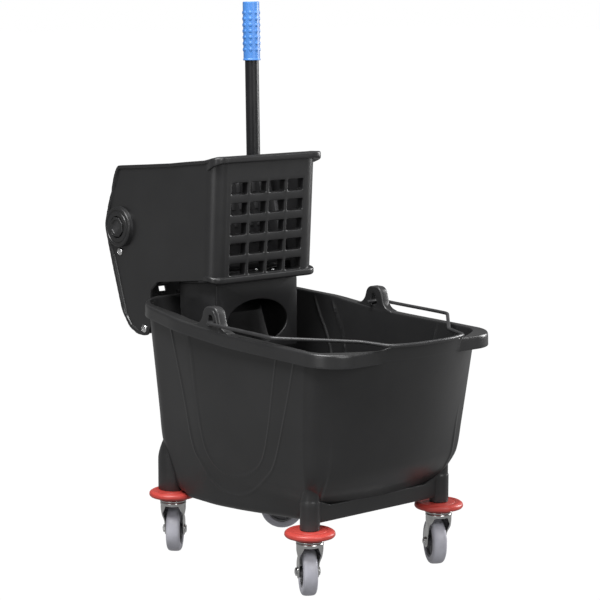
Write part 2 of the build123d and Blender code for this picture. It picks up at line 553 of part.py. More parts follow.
# drive gear: teeth from just above the mesh round to below the axle
p_first = MESH_P - 4 * 2 * pi / TEETH_P
p_out, p_root, p_tip = tooth_outline(TEETH_P, PITCH_P, p_first, 6, SLACK)
a0 = p_first - pi / TEETH_P
a1 = p_first + (5 + 0.5) * 2 * pi / TEETH_P
p_poly = [(14 * cos(a0 - 0.5), 14 * sin(a0 - 0.5)), (p_root * cos(a0), p_root * sin(a0))] + p_out + [
    (p_root * cos(a1), p_root * sin(a1)), (14 * cos(a1 + 0.5), 14 * sin(a1 + 0.5))]
# sector gear on the press plate: gaps where the drive gear has teeth
s_first = MESH_S - pi / TEETH_S - 1 * 2 * pi / TEETH_S
s_out, s_root, s_tip = tooth_outline(TEETH_S, PITCH_S, s_first, 7, SLACK)
b0 = s_first - pi / TEETH_S
b1 = s_first + 6.5 * 2 * pi / TEETH_S
plate_dir = radians(90 + PRESS_LEAN)
pd = (cos(plate_dir), sin(plate_dir))
pn = (sin(plate_dir), -cos(plate_dir))      # towards the grille
s_poly = [(s_root * cos(b0), s_root * sin(b0))] + s_out + [(s_root * cos(b1), s_root * sin(b1)),
          (14 * cos(b1 + 0.6), 14 * sin(b1 + 0.6)), (14 * cos(b0 - 0.6), 14 * sin(b0 - 0.6))]

for s, nm in ((-1, "right"), (1, "left")):
    y0, y1 = (GEAR_Y0, GEAR_Y1) if s > 0 else (-GEAR_Y1, -GEAR_Y0)
    g = poly_slab(p_poly, AX, AZ, y0, y1)
    h = (GEAR_Y0 - 8, GEAR_Y1 + 2.6) if s > 0 else (-GEAR_Y1 - 2.6, -GEAR_Y0 + 8)
    g = g + rod_y(AX, AZ, h[0], h[1], 15.5) - rod_y(AX, AZ, -130, 130, 8.0 + SIT)
    keep("drive_gear_" + nm, one(g))
    q = poly_slab(s_poly, HX, HZ, y0, y1)
    strip = [(pn[0] * 12 , pn[1] * 12), (pn[0] * 12 + pd[0] * 118, pn[1] * 12 + pd[1] * 118),
             (-pn[0] * 13 + pd[0] * 118, -pn[1] * 13 + pd[1] * 118), (-pn[0] * 13, -pn[1] * 13)]
    q = q + poly_slab(strip, HX, HZ, y0, y1) + rod_y(HX, HZ, y0, y1, 13.0)
    # lightening holes
    for ang, rr, hr in ((MESH_S + 0.10, 62.0, 13.0), (MESH_S + 0.25, 104.0, 17.0)):
        q = q - rod_y(HX + rr * cos(ang), HZ + rr * sin(ang), y0 - 1, y1 + 1, hr)
    q = q - rod_y(HX, HZ, -130, 130, 5.0 + RUN)
    for d in (52, 100):
        q = q - rod_y(HX + pd[0] * d, HZ + pd[1] * d, y0 - 1, y1 + 1, 2.2)
    keep("sector_gear_" + nm, one(q))

# press plate: ribbed plate with end flanges for the sector gears
pl_y = GEAR_Y0 - 0.2
prof = [(pn[0] * 9 + pd[0] * 2, pn[1] * 9 + pd[1] * 2), (pn[0] * 9 + pd[0] * 172, pn[1] * 9 + pd[1] * 172),
        (pn[0] * 4 + pd[0] * 174, pn[1] * 4 + pd[1] * 174), (pn[0] * 4 + pd[0] * 2, pn[1] * 4 + pd[1] * 2)]
plate = poly_slab(prof, HX, HZ, -pl_y, pl_y)
for yy in (-pl_y, -62.0, -22.0, 16.0, 56.0, pl_y - 6):
    rib = [(pn[0] * 5, pn[1] * 5), (pn[0] * 5 + pd[0] * 160, pn[1] * 5 + pd[1] * 160),
           (-pn[0] * 6 + pd[0] * 140, -pn[1] * 6 + pd[1] * 140), (-pn[0] * 10 + pd[0] * 10, -pn[1] * 10 + pd[1] * 10)]
    plate = plate + poly_slab(rib, HX, HZ, yy, yy + 6)
plate = plate + rod_y(HX, HZ, -pl_y, pl_y, 11.0)
for k in range(9):
    for d in (45, 75, 105, 135):
        yy = -72 + 18 * k
        # raised pads on the pressing face
        c = (HX + pn[0] * 8.5 + pd[0] * d, HZ + pn[1] * 8.5 + pd[1] * d)
        plate = plate + Pos(c[0], yy, c[1]) * Rot(0, -PRESS_LEAN, 0) * Box(4.0, 7, 18)
plate = plate - rod_y(HX, HZ, -130, 130, 5.0 + RUN)
for s in (1, -1):
    for d in (52, 100):
        plate = plate - rod_y(HX + pd[0] * d, HZ + pd[1] * d, min(s * 86, s * 106), max(s * 86, s * 106), 1.9)
keep("press_plate", one(plate))
screws = []
for s in (1, -1):
    for d in (52, 100):
        q = rod_y(0, 0, -10.0, 0.2, 1.8) + rod_y(0, 0, 0, 2.2, 4.0)
        if s < 0:
            q = mirror(q, Plane.XZ)
        screws.append((Pos(HX + pd[0] * d, s * (GEAR_Y1 + 0.02), HZ + pd[1] * d) * q).solid())
keep("sector_screws", Compound(children=screws))

# -------------------------------------------------------------------- lever
def lever(shape):
    return about_y(shape, AX, AZ, -LEVER_LEAN)


axle = rod_y(AX, AZ, -SIDE_Y - 4.2, 150.0, 8.0) - rod_y(AX, AZ, 136.0, 156.0, 3.0)
keep("lever_axle", one(axle))
tx = AX + TUBE_DX
arm = rod_y(AX, AZ, 127.0, 147.0, 22.0)
arm_pts = [(AX - 8, AZ + 20), (AX + 6, AZ - 21), (tx + 8, AZ - 2), (tx + 10, AZ + 60), (tx - 14, AZ + 66)]
arm = arm + slab_y(arm_pts, [10, 10, 12, 8, 10], 129.0, 145.0)
arm = arm + rod_z(tx, LEVER_Y, AZ - 4, AZ + 84, 15.9)
arm = arm - rod_z(tx, LEVER_Y, AZ + 2, AZ + 100, TUBE_R + SIT)
arm = arm - rod_y(AX, AZ, 100, 160, 8.0 + SIT)
arm = arm - rod_y(tx, AZ + 40, 100, 160, 3.0 + SIT)
keep("lever_arm", lever(one(arm)))
tube = rod_z(tx, LEVER_Y, AZ + 2.2, GRIP_Z1 - 6, TUBE_R) - rod_z(tx, LEVER_Y, AZ, GRIP_Z1, TUBE_R - TUBE_T)
tube = tube - rod_y(tx, AZ + 40, 100, 160, 3.0 + SIT)
keep("handle_tube", lever(one(tube)))
grip = rod_z(tx, LEVER_Y, GRIP_Z0, GRIP_Z1, GRIP_R)
grip = fillet(grip.edges().sort_by(Axis.Z)[-1], 5.0)
grip = grip - rod_z(tx, LEVER_Y, GRIP_Z0 - 5, GRIP_Z1 - 5.5, TUBE_R + SIT)
keep("handle_grip", lever(one(grip)))
bolt = rod_y(tx, AZ + 40, 123.0, 154.2, 3.0)
bolt = bolt + Pos(tx, 154.05, AZ + 40) * Rot(-90, 0, 0) * hexagon_prism(5.6, 3.8)
keep("socket_bolt", lever(one(bolt)))
hub = rod_y(AX, AZ, 138.0, 150.5, 3.0 - SIT) + rod_y(AX, AZ, 150.05, 152.2, 13.0) + Pos(AX, 152.0, AZ) * Rot(-90, 0, 0) * hexagon_prism(7.0, 5.0)
keep("hub_bolt", lever(one(hub)))

# ------------------------------------------------------------------- output
os.makedirs("parts", exist_ok=True)
lo = [1e9] * 3
hi = [-1e9] * 3
for name, shape in nodes.items():
    moved = Pos(ORIGIN_SHIFT_X, 0, ORIGIN_SHIFT_Z) * shape
    bb = moved.bounding_box()
    for i in range(3):
        lo[i] = min(lo[i], tuple(bb.min)[i])
        hi[i] = max(hi[i], tuple(bb.max)[i])
    export_step(moved, f"parts/{name}.step")
print(len(nodes), "nodes", [round(v, 2) for v in lo], [round(v, 2) for v in hi])
print("gear pitch radii", round(PITCH_P, 3), round(PITCH_S, 3), "module", round(MODULE, 4))
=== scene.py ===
import bpy
import bmesh
import json
import numpy as np
from math import sin, cos, tan, pi, radians, sqrt, hypot
from mathutils import Vector, Matrix


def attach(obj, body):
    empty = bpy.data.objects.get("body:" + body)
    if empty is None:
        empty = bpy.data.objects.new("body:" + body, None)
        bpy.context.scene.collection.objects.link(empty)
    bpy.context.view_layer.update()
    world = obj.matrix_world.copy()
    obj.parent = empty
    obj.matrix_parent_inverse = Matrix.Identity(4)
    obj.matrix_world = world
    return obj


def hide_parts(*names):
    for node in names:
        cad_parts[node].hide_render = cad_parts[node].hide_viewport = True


# Looks of a wheeled mop bucket with a side-press wringer. Shapes are worked out
# in millimetres about the middle of the casters and moved by (SX, 0, SZ) into
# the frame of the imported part.
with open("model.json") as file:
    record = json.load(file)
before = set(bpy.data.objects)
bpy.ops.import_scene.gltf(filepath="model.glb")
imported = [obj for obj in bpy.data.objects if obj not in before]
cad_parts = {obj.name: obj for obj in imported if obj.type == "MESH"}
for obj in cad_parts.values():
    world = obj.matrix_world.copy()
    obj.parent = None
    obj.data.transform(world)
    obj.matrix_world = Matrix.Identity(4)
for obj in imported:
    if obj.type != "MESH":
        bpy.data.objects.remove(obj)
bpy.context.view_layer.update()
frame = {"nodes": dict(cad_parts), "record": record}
nodes = frame["nodes"]
scene = bpy.context.scene
SX, SZ = 48.0, 5.5

# ------------------------------------------------------------------ materials
def nodes_of(name):
    m = bpy.data.materials.new(name)
    m.use_nodes = True
    nt = m.node_tree
    nt.nodes.clear()
    out = nt.nodes.new("ShaderNodeOutputMaterial")
    b = nt.nodes.new("ShaderNodeBsdfPrincipled")
    nt.links.new(b.outputs["BSDF"], out.inputs["Surface"])
    return m, nt, b


def noise(nt, co, scale, detail=4.0, rough=0.55, stretch=None, distort=0.0):
    n = nt.nodes.new("ShaderNodeTexNoise")
    n.inputs["Scale"].default_value = scale
    n.inputs["Detail"].default_value = detail
    n.inputs["Roughness"].default_value = rough
    n.inputs["Distortion"].default_value = distort
    if stretch is None:
        nt.links.new(co, n.inputs["Vector"])
    else:
        mp = nt.nodes.new("ShaderNodeMapping")
        mp.inputs["Scale"].default_value = stretch[:3]
        if len(stretch) > 3:
            mp.inputs["Rotation"].default_value = stretch[3:6]
        nt.links.new(co, mp.inputs["Vector"])
        nt.links.new(mp.outputs["Vector"], n.inputs["Vector"])
    return n.outputs["Fac"]


def ranged(nt, v, a, b, lo, hi):
    r = nt.nodes.new("ShaderNodeMapRange")
    r.clamp = True
    r.inputs["From Min"].default_value = a
    r.inputs["From Max"].default_value = b
    r.inputs["To Min"].default_value = lo
    r.inputs["To Max"].default_value = hi
    nt.links.new(v, r.inputs["Value"])
    return r.outputs["Result"]


def math2(nt, op, a, b):
    n = nt.nodes.new("ShaderNodeMath")
    n.operation = op
    for i, v in enumerate((a, b)):
        if isinstance(v, (int, float)):
            n.inputs[i].default_value = v
        else:
            nt.links.new(v, n.inputs[i])
    return n.outputs[0]


def mixed(nt, f, a, b):
    n = nt.nodes.new("ShaderNodeMix")
    n.data_type = "RGBA"
    n.clamp_factor = True
    nt.links.new(f, n.inputs[0])
    for i, v in ((6, a), (7, b)):
        if isinstance(v, tuple):
            n.inputs[i].default_value = (*v, 1.0)
        else:
            nt.links.new(v, n.inputs[i])
    return n.outputs[2]


def bumped(nt, b, height, strength, distance, before=None):
    n = nt.nodes.new("ShaderNodeBump")
    n.inputs["Strength"].default_value = strength
    n.inputs["Distance"].default_value = distance
    nt.links.new(height, n.inputs["Height"])
    if before is not None:
        nt.links.new(before, n.inputs["Normal"])
    nt.links.new(n.outputs["Normal"], b.inputs["Normal"])
    return n.outputs["Normal"]


def moulded(name, dark, light, rough, spread=0.06, grain=1100.0, grain_s=0.10, scuff_and_sheen=(0.16, 0.16, 0.165), scuff_and_sheen_amount=0.5,
            dust=0.0, spec=0.5, blotch=7.0, foot=None):
    """Moulded plastic: cloudy colour, fine mould grain, faint rubbed streaks, convex edges painted paler as scuffs and
    as a painted edge highlight.
    """
    m, nt, b = nodes_of(name)
    co = nt.nodes.new("ShaderNodeTexCoord").outputs["Object"]
    cloud = noise(nt, co, blotch, 5.0, 0.6)
    col = mixed(nt, ranged(nt, cloud, 0.35, 0.68, 0.0, 1.0), dark, light)
    streak = noise(nt, co, 26.0, 6.0, 0.7, stretch=(1.0, 1.0, 9.0, 0.25, 0.1, 0.0))
    rub = ranged(nt, streak, 0.62, 0.80, 0.0, 0.55)
    geo = nt.nodes.new("ShaderNodeNewGeometry")
    # convex edges are painted paler: partly scuff wear, partly a painted highlight along the edges
    edge = ranged(nt, geo.outputs["Pointiness"], 0.515, 0.60, 0.0, 1.0)
    patch = noise(nt, co, 90.0, 5.0, 0.65)
    worn_and_highlit = math2(nt, "MULTIPLY", edge, ranged(nt, patch, 0.42, 0.66, 0.15, scuff_and_sheen_amount))
    col = mixed(nt, worn_and_highlit, col, scuff_and_sheen)
    if dust > 0:
        up = nt.nodes.new("ShaderNodeSeparateXYZ")
        nt.links.new(geo.outputs["Normal"], up.inputs[0])
        d = math2(nt, "MULTIPLY", ranged(nt, up.outputs["Z"], 0.3, 1.0, 0.0, dust), ranged(nt, patch, 0.35, 0.7, 0.3, 1.0))
        col = mixed(nt, d, col, (0.22, 0.215, 0.205))
    nt.links.new(col, b.inputs["Base Color"])
    r = ranged(nt, noise(nt, co, 46.0, 6.0, 0.6), 0.32, 0.7, rough - spread, rough + spread)
    r = math2(nt, "ADD", r, math2(nt, "MULTIPLY", rub, 0.10))
    if foot:
        # duller towards the foot, where it is rubbed and splashed
        hz = nt.nodes.new("ShaderNodeSeparateXYZ")
        nt.links.new(co, hz.inputs[0])
        r = math2(nt, "ADD", r, ranged(nt, hz.outputs["Z"], foot[0], foot[1], foot[2], 0.0))
    nt.links.new(r, b.inputs["Roughness"])
    b.inputs["Specular IOR Level"].default_value = spec
    n1 = bumped(nt, b, noise(nt, co, 16.0, 2.0, 0.5), 0.10, 0.0012)
    bumped(nt, b, noise(nt, co, grain, 2.0, 0.5), grain_s, 0.00025, n1)
    return m


def metal(name, dark, light, rough, spread=0.10, brushed=None, tarnish=(0.30, 0.29, 0.26)):
    """Zinc plate: bright, softly mottled, a little dull in the hollows."""
    m, nt, b = nodes_of(name)
    co = nt.nodes.new("ShaderNodeTexCoord").outputs["Object"]
    v = nt.nodes.new("ShaderNodeTexVoronoi")
    v.inputs["Scale"].default_value = 260.0
    nt.links.new(co, v.inputs["Vector"])
    col = mixed(nt, ranged(nt, noise(nt, co, 60.0, 5.0, 0.6), 0.35, 0.7, 0.0, 1.0), dark, light)
    geo = nt.nodes.new("ShaderNodeNewGeometry")
    hollow = ranged(nt, geo.outputs["Pointiness"], 0.40, 0.49, 0.55, 0.0)
    col = mixed(nt, hollow, col, tarnish)
    nt.links.new(col, b.inputs["Base Color"])
    b.inputs["Metallic"].default_value = 1.0
    r = ranged(nt, v.outputs["Distance"], 0.0, 0.9, rough - spread * 0.5, rough + spread * 0.5)
    r = math2(nt, "ADD", r, ranged(nt, noise(nt, co, 140.0, 6.0, 0.65), 0.3, 0.75, -spread * 0.5, spread * 0.8))
    nt.links.new(r, b.inputs["Roughness"])
    h = noise(nt, co, 320.0, 4.0, 0.6, stretch=brushed)
    bumped(nt, b, h, 0.10, 0.0002)
    return m


def rubber(name, dark, light, rough, grime, grime_amount, grain=700.0, spec=0.4):
    """Soft wheel or grip material: matt, finely pitted, a little soiled."""
    m, nt, b = nodes_of(name)
    co = nt.nodes.new("ShaderNodeTexCoord").outputs["Object"]
    col = mixed(nt, ranged(nt, noise(nt, co, 34.0, 5.0, 0.6), 0.35, 0.68, 0.0, 1.0), dark, light)
    soil = ranged(nt, noise(nt, co, 75.0, 8.0, 0.72), 0.50, 0.78, 0.0, grime_amount)
    col = mixed(nt, soil, col, grime)
    nt.links.new(col, b.inputs["Base Color"])
    r = ranged(nt, noise(nt, co, 120.0, 5.0, 0.6), 0.3, 0.7, rough - 0.07, rough + 0.08)
    nt.links.new(r, b.inputs["Roughness"])
    b.inputs["Specular IOR Level"].default_value = spec
    n1 = bumped(nt, b, noise(nt, co, grain, 3.0, 0.6), 0.12, 0.0003)
    bumped(nt, b, noise(nt, co, 55.0, 3.0, 0.5), 0.08, 0.0006, n1)
    return m


def coated(name, base, light, rough, spec=0.5):
    """Coated steel: dark enamel with an orange-peel surface."""
    m, nt, b = nodes_of(name)
    co = nt.nodes.new("ShaderNodeTexCoord").outputs["Object"]
    col = mixed(nt, ranged(nt, noise(nt, co, 22.0, 4.0, 0.6), 0.35, 0.7, 0.0, 1.0), base, light)
    nt.links.new(col, b.inputs["Base Color"])
    r = ranged(nt, noise(nt, co, 90.0, 5.0, 0.6), 0.3, 0.7, rough - 0.06, rough + 0.08)
    nt.links.new(r, b.inputs["Roughness"])
    bumped(nt, b, noise(nt, co, 420.0, 2.0, 0.4), 0.10, 0.0003)
    b.inputs["Specular IOR Level"].default_value = spec
    return m


M_TUB = moulded("tub_plastic", (0.0150, 0.0150, 0.0155), (0.0200, 0.0200, 0.0205), 0.315, spread=0.025, dust=0.02, scuff_and_sheen_amount=0.25, grain_s=0.03, foot=(0.14, 0.22, 0.10))
M_WRINGER = moulded("wringer_plastic", (0.0110, 0.0110, 0.0115), (0.0148, 0.0148, 0.0153), 0.32, spread=0.025, scuff_and_sheen_amount=0.09, grain_s=0.025)
M_CAP = moulded("cap_plastic", (0.0090, 0.0090, 0.0094), (0.0120, 0.0120, 0.0124), 0.46, spread=0.02, scuff_and_sheen_amount=0.06, grain_s=0.02)
M_GEAR = moulded("gear_plastic", (0.013, 0.013, 0.014), (0.018, 0.018, 0.019), 0.45)
M_RED = rubber("bumper_red", (0.46, 0.050, 0.040), (0.52, 0.062, 0.050), 0.36, (0.40, 0.04, 0.035), 0.20, spec=0.5)
M_BLUE = rubber("grip_blue", (0.047, 0.172, 0.47), (0.058, 0.195, 0.52), 0.38, (0.05, 0.20, 0.6), 0.16, spec=0.5)
M_TYRE = rubber("tyre_grey", (0.40, 0.40, 0.45), (0.48, 0.48, 0.53), 0.42, (0.30, 0.29, 0.29), 0.30, spec=0.5)
M_CORE = moulded("wheel_plastic", (0.10, 0.10, 0.11), (0.14, 0.14, 0.15), 0.45, scuff_and_sheen=(0.3, 0.3, 0.3))
M_ZINC = metal("zinc_plate", (0.56, 0.56, 0.55), (0.70, 0.70, 0.69), 0.16, 0.06)
M_SCREW = metal("screw_steel", (0.70, 0.70, 0.70), (0.84, 0.84, 0.84), 0.20)
M_BALL = metal("ball_steel", (0.68, 0.68, 0.69), (0.78, 0.78, 0.79), 0.10, 0.05)
M_TUBE = coated("black_tube", (0.007, 0.007, 0.008), (0.010, 0.010, 0.011), 0.36, spec=0.28)
M_WIRE = coated("black_wire", (0.020, 0.020, 0.021), (0.030, 0.030, 0.031), 0.36)

SLOT_LOOK = {"tub_plastic": M_TUB, "wringer_plastic": M_WRINGER, "bumper_rubber": M_RED, "zinc_steel": M_ZINC,
             "ball_steel": M_BALL, "wheel_plastic": M_CORE, "grey_tyre": M_TYRE, "black_wire": M_WIRE,
             "black_tube": M_TUBE, "blue_grip": M_BLUE, "gear_plastic": M_GEAR, "screw_steel": M_SCREW}
NODE_SLOT = {s["node"]: s["material_slot"] for s in frame["record"]["subparts"]}
for n, o in nodes.items():
    o.data.materials.clear()
    o.data.materials.append(SLOT_LOOK[NODE_SLOT[n]])


# --------------------------------------------------------------- mesh helpers
def finish_mesh(bm, name, mat, body, replaced=(), angle=38.0, merge=2e-6):
    bmesh.ops.remove_doubles(bm, verts=bm.verts, dist=merge)
    bmesh.ops.dissolve_degenerate(bm, edges=bm.edges, dist=merge)
    bmesh.ops.recalc_face_normals(bm, faces=bm.faces)
    me = bpy.data.meshes.new(name)
    bm.to_mesh(me)
    bm.free()
    me.materials.append(mat)
    me.shade_smooth()
    me.set_sharp_from_angle(angle=radians(angle))
    o = bpy.data.objects.new(name, me)
    scene.collection.objects.link(o)
    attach(o, body)
    if replaced:
        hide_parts(*replaced)
    return o


def to_m(p):
    p = np.asarray(p, float)
    return (p + np.array([SX, 0.0, SZ])) * 0.001


def add_grid(bm, P, close=True, cap0=None, cap1=None):
    """P is (rings, around, 3) in mm; rings are joined, and ends closed to a point."""
    Q = to_m(P)
    K, N = Q.shape[:2]
    vs = [[bm.verts.new(Q[k, s]) for s in range(N)] for k in range(K)]
    last = N if close else N - 1
    for k in range(K - 1):
        for s in range(last):
            t = (s + 1) % N
            bm.faces.new((vs[k][s], vs[k][t], vs[k + 1][t], vs[k + 1][s]))
    for cap, ring in ((cap0, vs[0]), (cap1, vs[-1])):
        if cap is not None:
            if isinstance(cap, str):
                bm.faces.new(ring)
            else:
                c = bm.verts.new(to_m(cap))
                for s in range(last):
                    bm.faces.new((ring[s], ring[(s + 1) % N], c))


def add_plate(bm, outline, holes, place, t0, t1, bevel=0.0, segments=3):
    """Plate with its outline (and holes) in 2D; place(u, v, t) gives mm."""
    b2 = bmesh.new()
    edges = []
    for loop in [outline] + list(holes):
        vs = [b2.verts.new(to_m(place(u, v, t0))) for u, v in loop]
        for i in range(len(vs)):
            edges.append(b2.edges.new((vs[i], vs[(i + 1) % len(vs)])))
    bmesh.ops.triangle_fill(b2, use_beauty=True, use_dissolve=True, edges=edges)
    base = list(b2.faces)
    ext = bmesh.ops.extrude_face_region(b2, geom=base)
    moved = [g for g in ext["geom"] if isinstance(g, bmesh.types.BMVert)]
    d = Vector(to_m(place(0, 0, t1))) - Vector(to_m(place(0, 0, t0)))
    bmesh.ops.translate(b2, verts=moved, vec=d)
    bmesh.ops.recalc_face_normals(b2, faces=b2.faces)
    if bevel > 0:
        sharp = [e for e in b2.edges if len(e.link_faces) == 2 and e.calc_face_angle(0) > radians(50)]
        bmesh.ops.bevel(b2, geom=sharp, offset=bevel * 0.001, segments=segments, profile=0.5, affect="EDGES", clamp_overlap=True)
    tmp = bpy.data.meshes.new("tmp")
    b2.to_mesh(tmp)
    b2.free()
    bm.from_mesh(tmp)
    bpy.data.meshes.remove(tmp)


def smooth_path(pts, n, closed=False):
    """Catmull-Rom through points, n samples per span."""
    p = np.asarray(pts, float)
    out = []
    m = len(p)
    spans = m if closed else m - 1
    for i in range(spans):
        if closed:
            a, b, c, d = p[i - 1], p[i], p[(i + 1) % m], p[(i + 2) % m]
        else:
            b, c = p[i], p[i + 1]
            a = p[i - 1] if i > 0 else 2 * b - c
            d = p[i + 2] if i + 2 < m else 2 * c - b
        for k in range(n):
            t = k / n
            out.append(0.5 * (2 * b + (c - a) * t + (2 * a - 5 * b + 4 * c - d) * t * t + (3 * b - a - 3 * c + d) * t ** 3))
    if not closed:
        out.append(p[-1])
    return np.array(out)


def rounded_poly(pts, radii, n=6):
    """Polygon with rounded corners, as points."""
    out = []
    m = len(pts)
    for i in range(m):
        p = np.array(pts[i], float)
        a = np.array(pts[i - 1], float) - p
        b = np.array(pts[(i + 1) % m], float) - p
        ua, ub = a / np.hypot(*a), b / np.hypot(*b)
        r = radii[i]
        if r <= 0:
            out.append(tuple(p))
            continue
        half = np.arccos(np.clip(ua @ ub, -1, 1)) / 2
        t = r / tan(half)
        bis = (ua + ub) / np.hypot(*(ua + ub))
        c = p + bis * r / sin(half)
        s0, s1 = p + ua * t - c, p + ub * t - c
        turn = pi - 2 * half
        sign = 1.0 if (s0[0] * s1[1] - s0[1] * s1[0]) > 0 else -1.0
        for k in range(n + 1):
            th = sign * turn * k / n
            out.append((c[0] + s0[0] * cos(th) - s0[1] * sin(th), c[1] + s0[0] * sin(th) + s0[1] * cos(th)))
    return out


def smoothstep(a, b, x):
    t = np.clip((x - a) / (b - a), 0.0, 1.0)
    return t * t * (3 - 2 * t)


# ------------------------------------------------------------------------ tub
# (z, x rear, x front, half width front, half width, half width rear, x where the
# sides draw in, front radius, rear radius, bow of the front)
KEYS = np.array([
    (106.5, -180.0, 150.0, 138.0, 158.5, 148.0, -60.0, 26.0, 40.0, 9.5),
    (148.0, -196.0, 177.0, 146.0, 162.5, 153.0, -67.0, 16.0, 42.0, 16.0),
    (175.0, -210.5, 194.5, 161.0, 165.3, 154.5, -73.0, 14.0, 43.5, 23.5),
    (205.0, -224.0, 204.5, 173.0, 168.0, 155.2, -80.0, 14.0, 45.0, 31.5),
    (250.0, -232.0, 208.5, 178.5, 170.5, 155.2, -84.4, 15.0, 48.5, 42.5),
    (460.0, -264.0, 231.5, 191.5, 182.0, 159.0, -105.0, 18.0, 60.0, 82.0)])
RIM_P = [(279.0, -198.0), (279.0, 198.0), (-110.0, 198.0), (-268.0, 166.0), (-268.0, -166.0), (-110.0, -198.0)]
RIM_R = [60.0, 60.0, 220.0, 85.0, 85.0, 220.0]
FLOOR_TILT, TUB_Z0 = 0.022, 106.5
FRONT_STEM, REAR_STEM = (180.0, 149.0), (-187.0, 142.0)
BAND, LEDGE_T, LIP_Z, WALL = 22.5, 3.6, 416.0, 4.0


def pchip(x, y, q):
    h = np.diff(x)
    d = np.diff(y) / h
    m = np.zeros_like(y)
    m[0], m[-1] = d[0], d[-1]
    for i in range(1, len(x) - 1):
        if d[i - 1] * d[i] > 0:
            w1, w2 = 2 * h[i] + h[i - 1], h[i] + 2 * h[i - 1]
            m[i] = (w1 + w2) / (w1 / d[i - 1] + w2 / d[i])
    i = np.clip(np.searchsorted(x, q) - 1, 0, len(x) - 2)
    t = (q - x[i]) / h[i]
    return ((1 + 2 * t) * (1 - t) ** 2 * y[i] + t * (1 - t) ** 2 * h[i] * m[i]
            + t * t * (3 - 2 * t) * y[i + 1] + t * t * (t - 1) * h[i] * m[i + 1])


EDGE_N = [170, 168, 56, 26, 56, 168]
ARC_N = [26, 26, 6, 28, 28, 6]
AROUND = []
for i in range(6):
    for k in range(ARC_N[i]):
        AROUND.append((0, i, k / (ARC_N[i] - 1)))
    for k in range(1, EDGE_N[i] + 1):
        AROUND.append((1, i, k / (EDGE_N[i] + 1)))
NS = len(AROUND)


def on_polygon(P, R, where):
    kind, i, f = where

    def corner(i):
        p = P[i]
        a, b = P[i - 1] - p, P[(i + 1) % 6] - p
        ua = a / np.linalg.norm(a, axis=1)[:, None]
        ub = b / np.linalg.norm(b, axis=1)[:, None]
        half = np.arccos(np.clip((ua * ub).sum(1), -1, 1)) / 2
        t = R[i] / np.tan(half)
        bis = ua + ub
        bis = bis / np.linalg.norm(bis, axis=1)[:, None]
        c = p + bis * (R[i] / np.sin(half))[:, None]
        return c, p + ua * t[:, None], p + ub * t[:, None], pi - 2 * half

    if kind == 0:
        c, st, en, turn = corner(i)
        v = st - c
        th = turn * f
        return c + np.stack([v[:, 0] * np.cos(th) - v[:, 1] * np.sin(th), v[:, 0] * np.sin(th) + v[:, 1] * np.cos(th)], 1)
    en, st = corner(i)[2], corner((i + 1) % 6)[1]
    return en + (st - en) * f


def wall_xy(s, z):
    """Outside of the wall at place s round the tub, at heights z."""
    z = np.asarray(z, float)
    xr, xf, yf, y, yr, xm, rf, rr, bow = (pchip(KEYS[:, 0], KEYS[:, j], z) for j in range(1, 10))
    st = lambda a, b: np.stack([a, b], 1)
    P = [st(xf, -yf), st(xf, yf), st(xm, y), st(xr, yr), st(xr, -yr), st(xm, -y)]
    big = np.full_like(z, 220.0)
    p = on_polygon(P, [rf, rf, big, rr, rr, big], AROUND[s % NS])
    if AROUND[s % NS][:2] in ((1, 0), (0, 0), (0, 1)):
        # the front swells out from corner to corner
        p[:, 0] += bow * (1 - np.clip(np.abs(p[:, 1]) / yf, 0, 1) ** 2)
    return p


def wall_n(s, z):
    t = wall_xy(s + 1, z) - wall_xy(s - 1, z)
    t = t / np.linalg.norm(t, axis=1)[:, None]
    return np.stack([t[:, 1], -t[:, 0]], 1)


def rim_top(x):
    d = x - 20.0
    return 420.6 - 0.0565 * d + 0.0235 * (sqrt(d * d + 900.0) - 30.0) - 1.6 * np.exp(-(d / 120.0) ** 2)


ONE = [np.array([p]) for p in RIM_P]
ONE_R = [np.array([r]) for r in RIM_R]
RIM_XY = np.array([on_polygon(ONE, ONE_R, a)[0] for a in AROUND])

# moulded U-shaped ridges on both sides, in the plane of the wall
U_OUT = smooth_path([(-146, 430), (-139, 404), (-106, 296), (-83, 215), (-60, 185), (-20, 152), (22, 142), (66, 151),
                     (106, 184), (130, 215), (154, 296), (178, 392), (186, 430)], 24)
U_IN = smooth_path([(-100, 430), (-90, 392), (-80, 346), (-65, 264), (-48, 211), (-18, 184), (22, 175), (64, 185),
                    (97, 213), (113, 266), (126, 346), (134, 392), (142, 430)], 24)


V_OUT = smooth_path([(-171, 446), (-164, 434), (-145, 394), (-125, 356), (-104, 294), (-86, 225), (-64, 190), (-22, 160), (22, 150), (66, 159),
                     (106, 190), (130, 220), (156, 300), (182, 396), (192, 432)], 24)
V_IN = smooth_path([(-129, 442), (-121, 427), (-105, 394), (-88, 360), (-68, 280), (-52, 218), (-20, 190), (22, 180), (64, 190),
                    (97, 218), (113, 270), (128, 350), (136, 394), (146, 432)], 24)


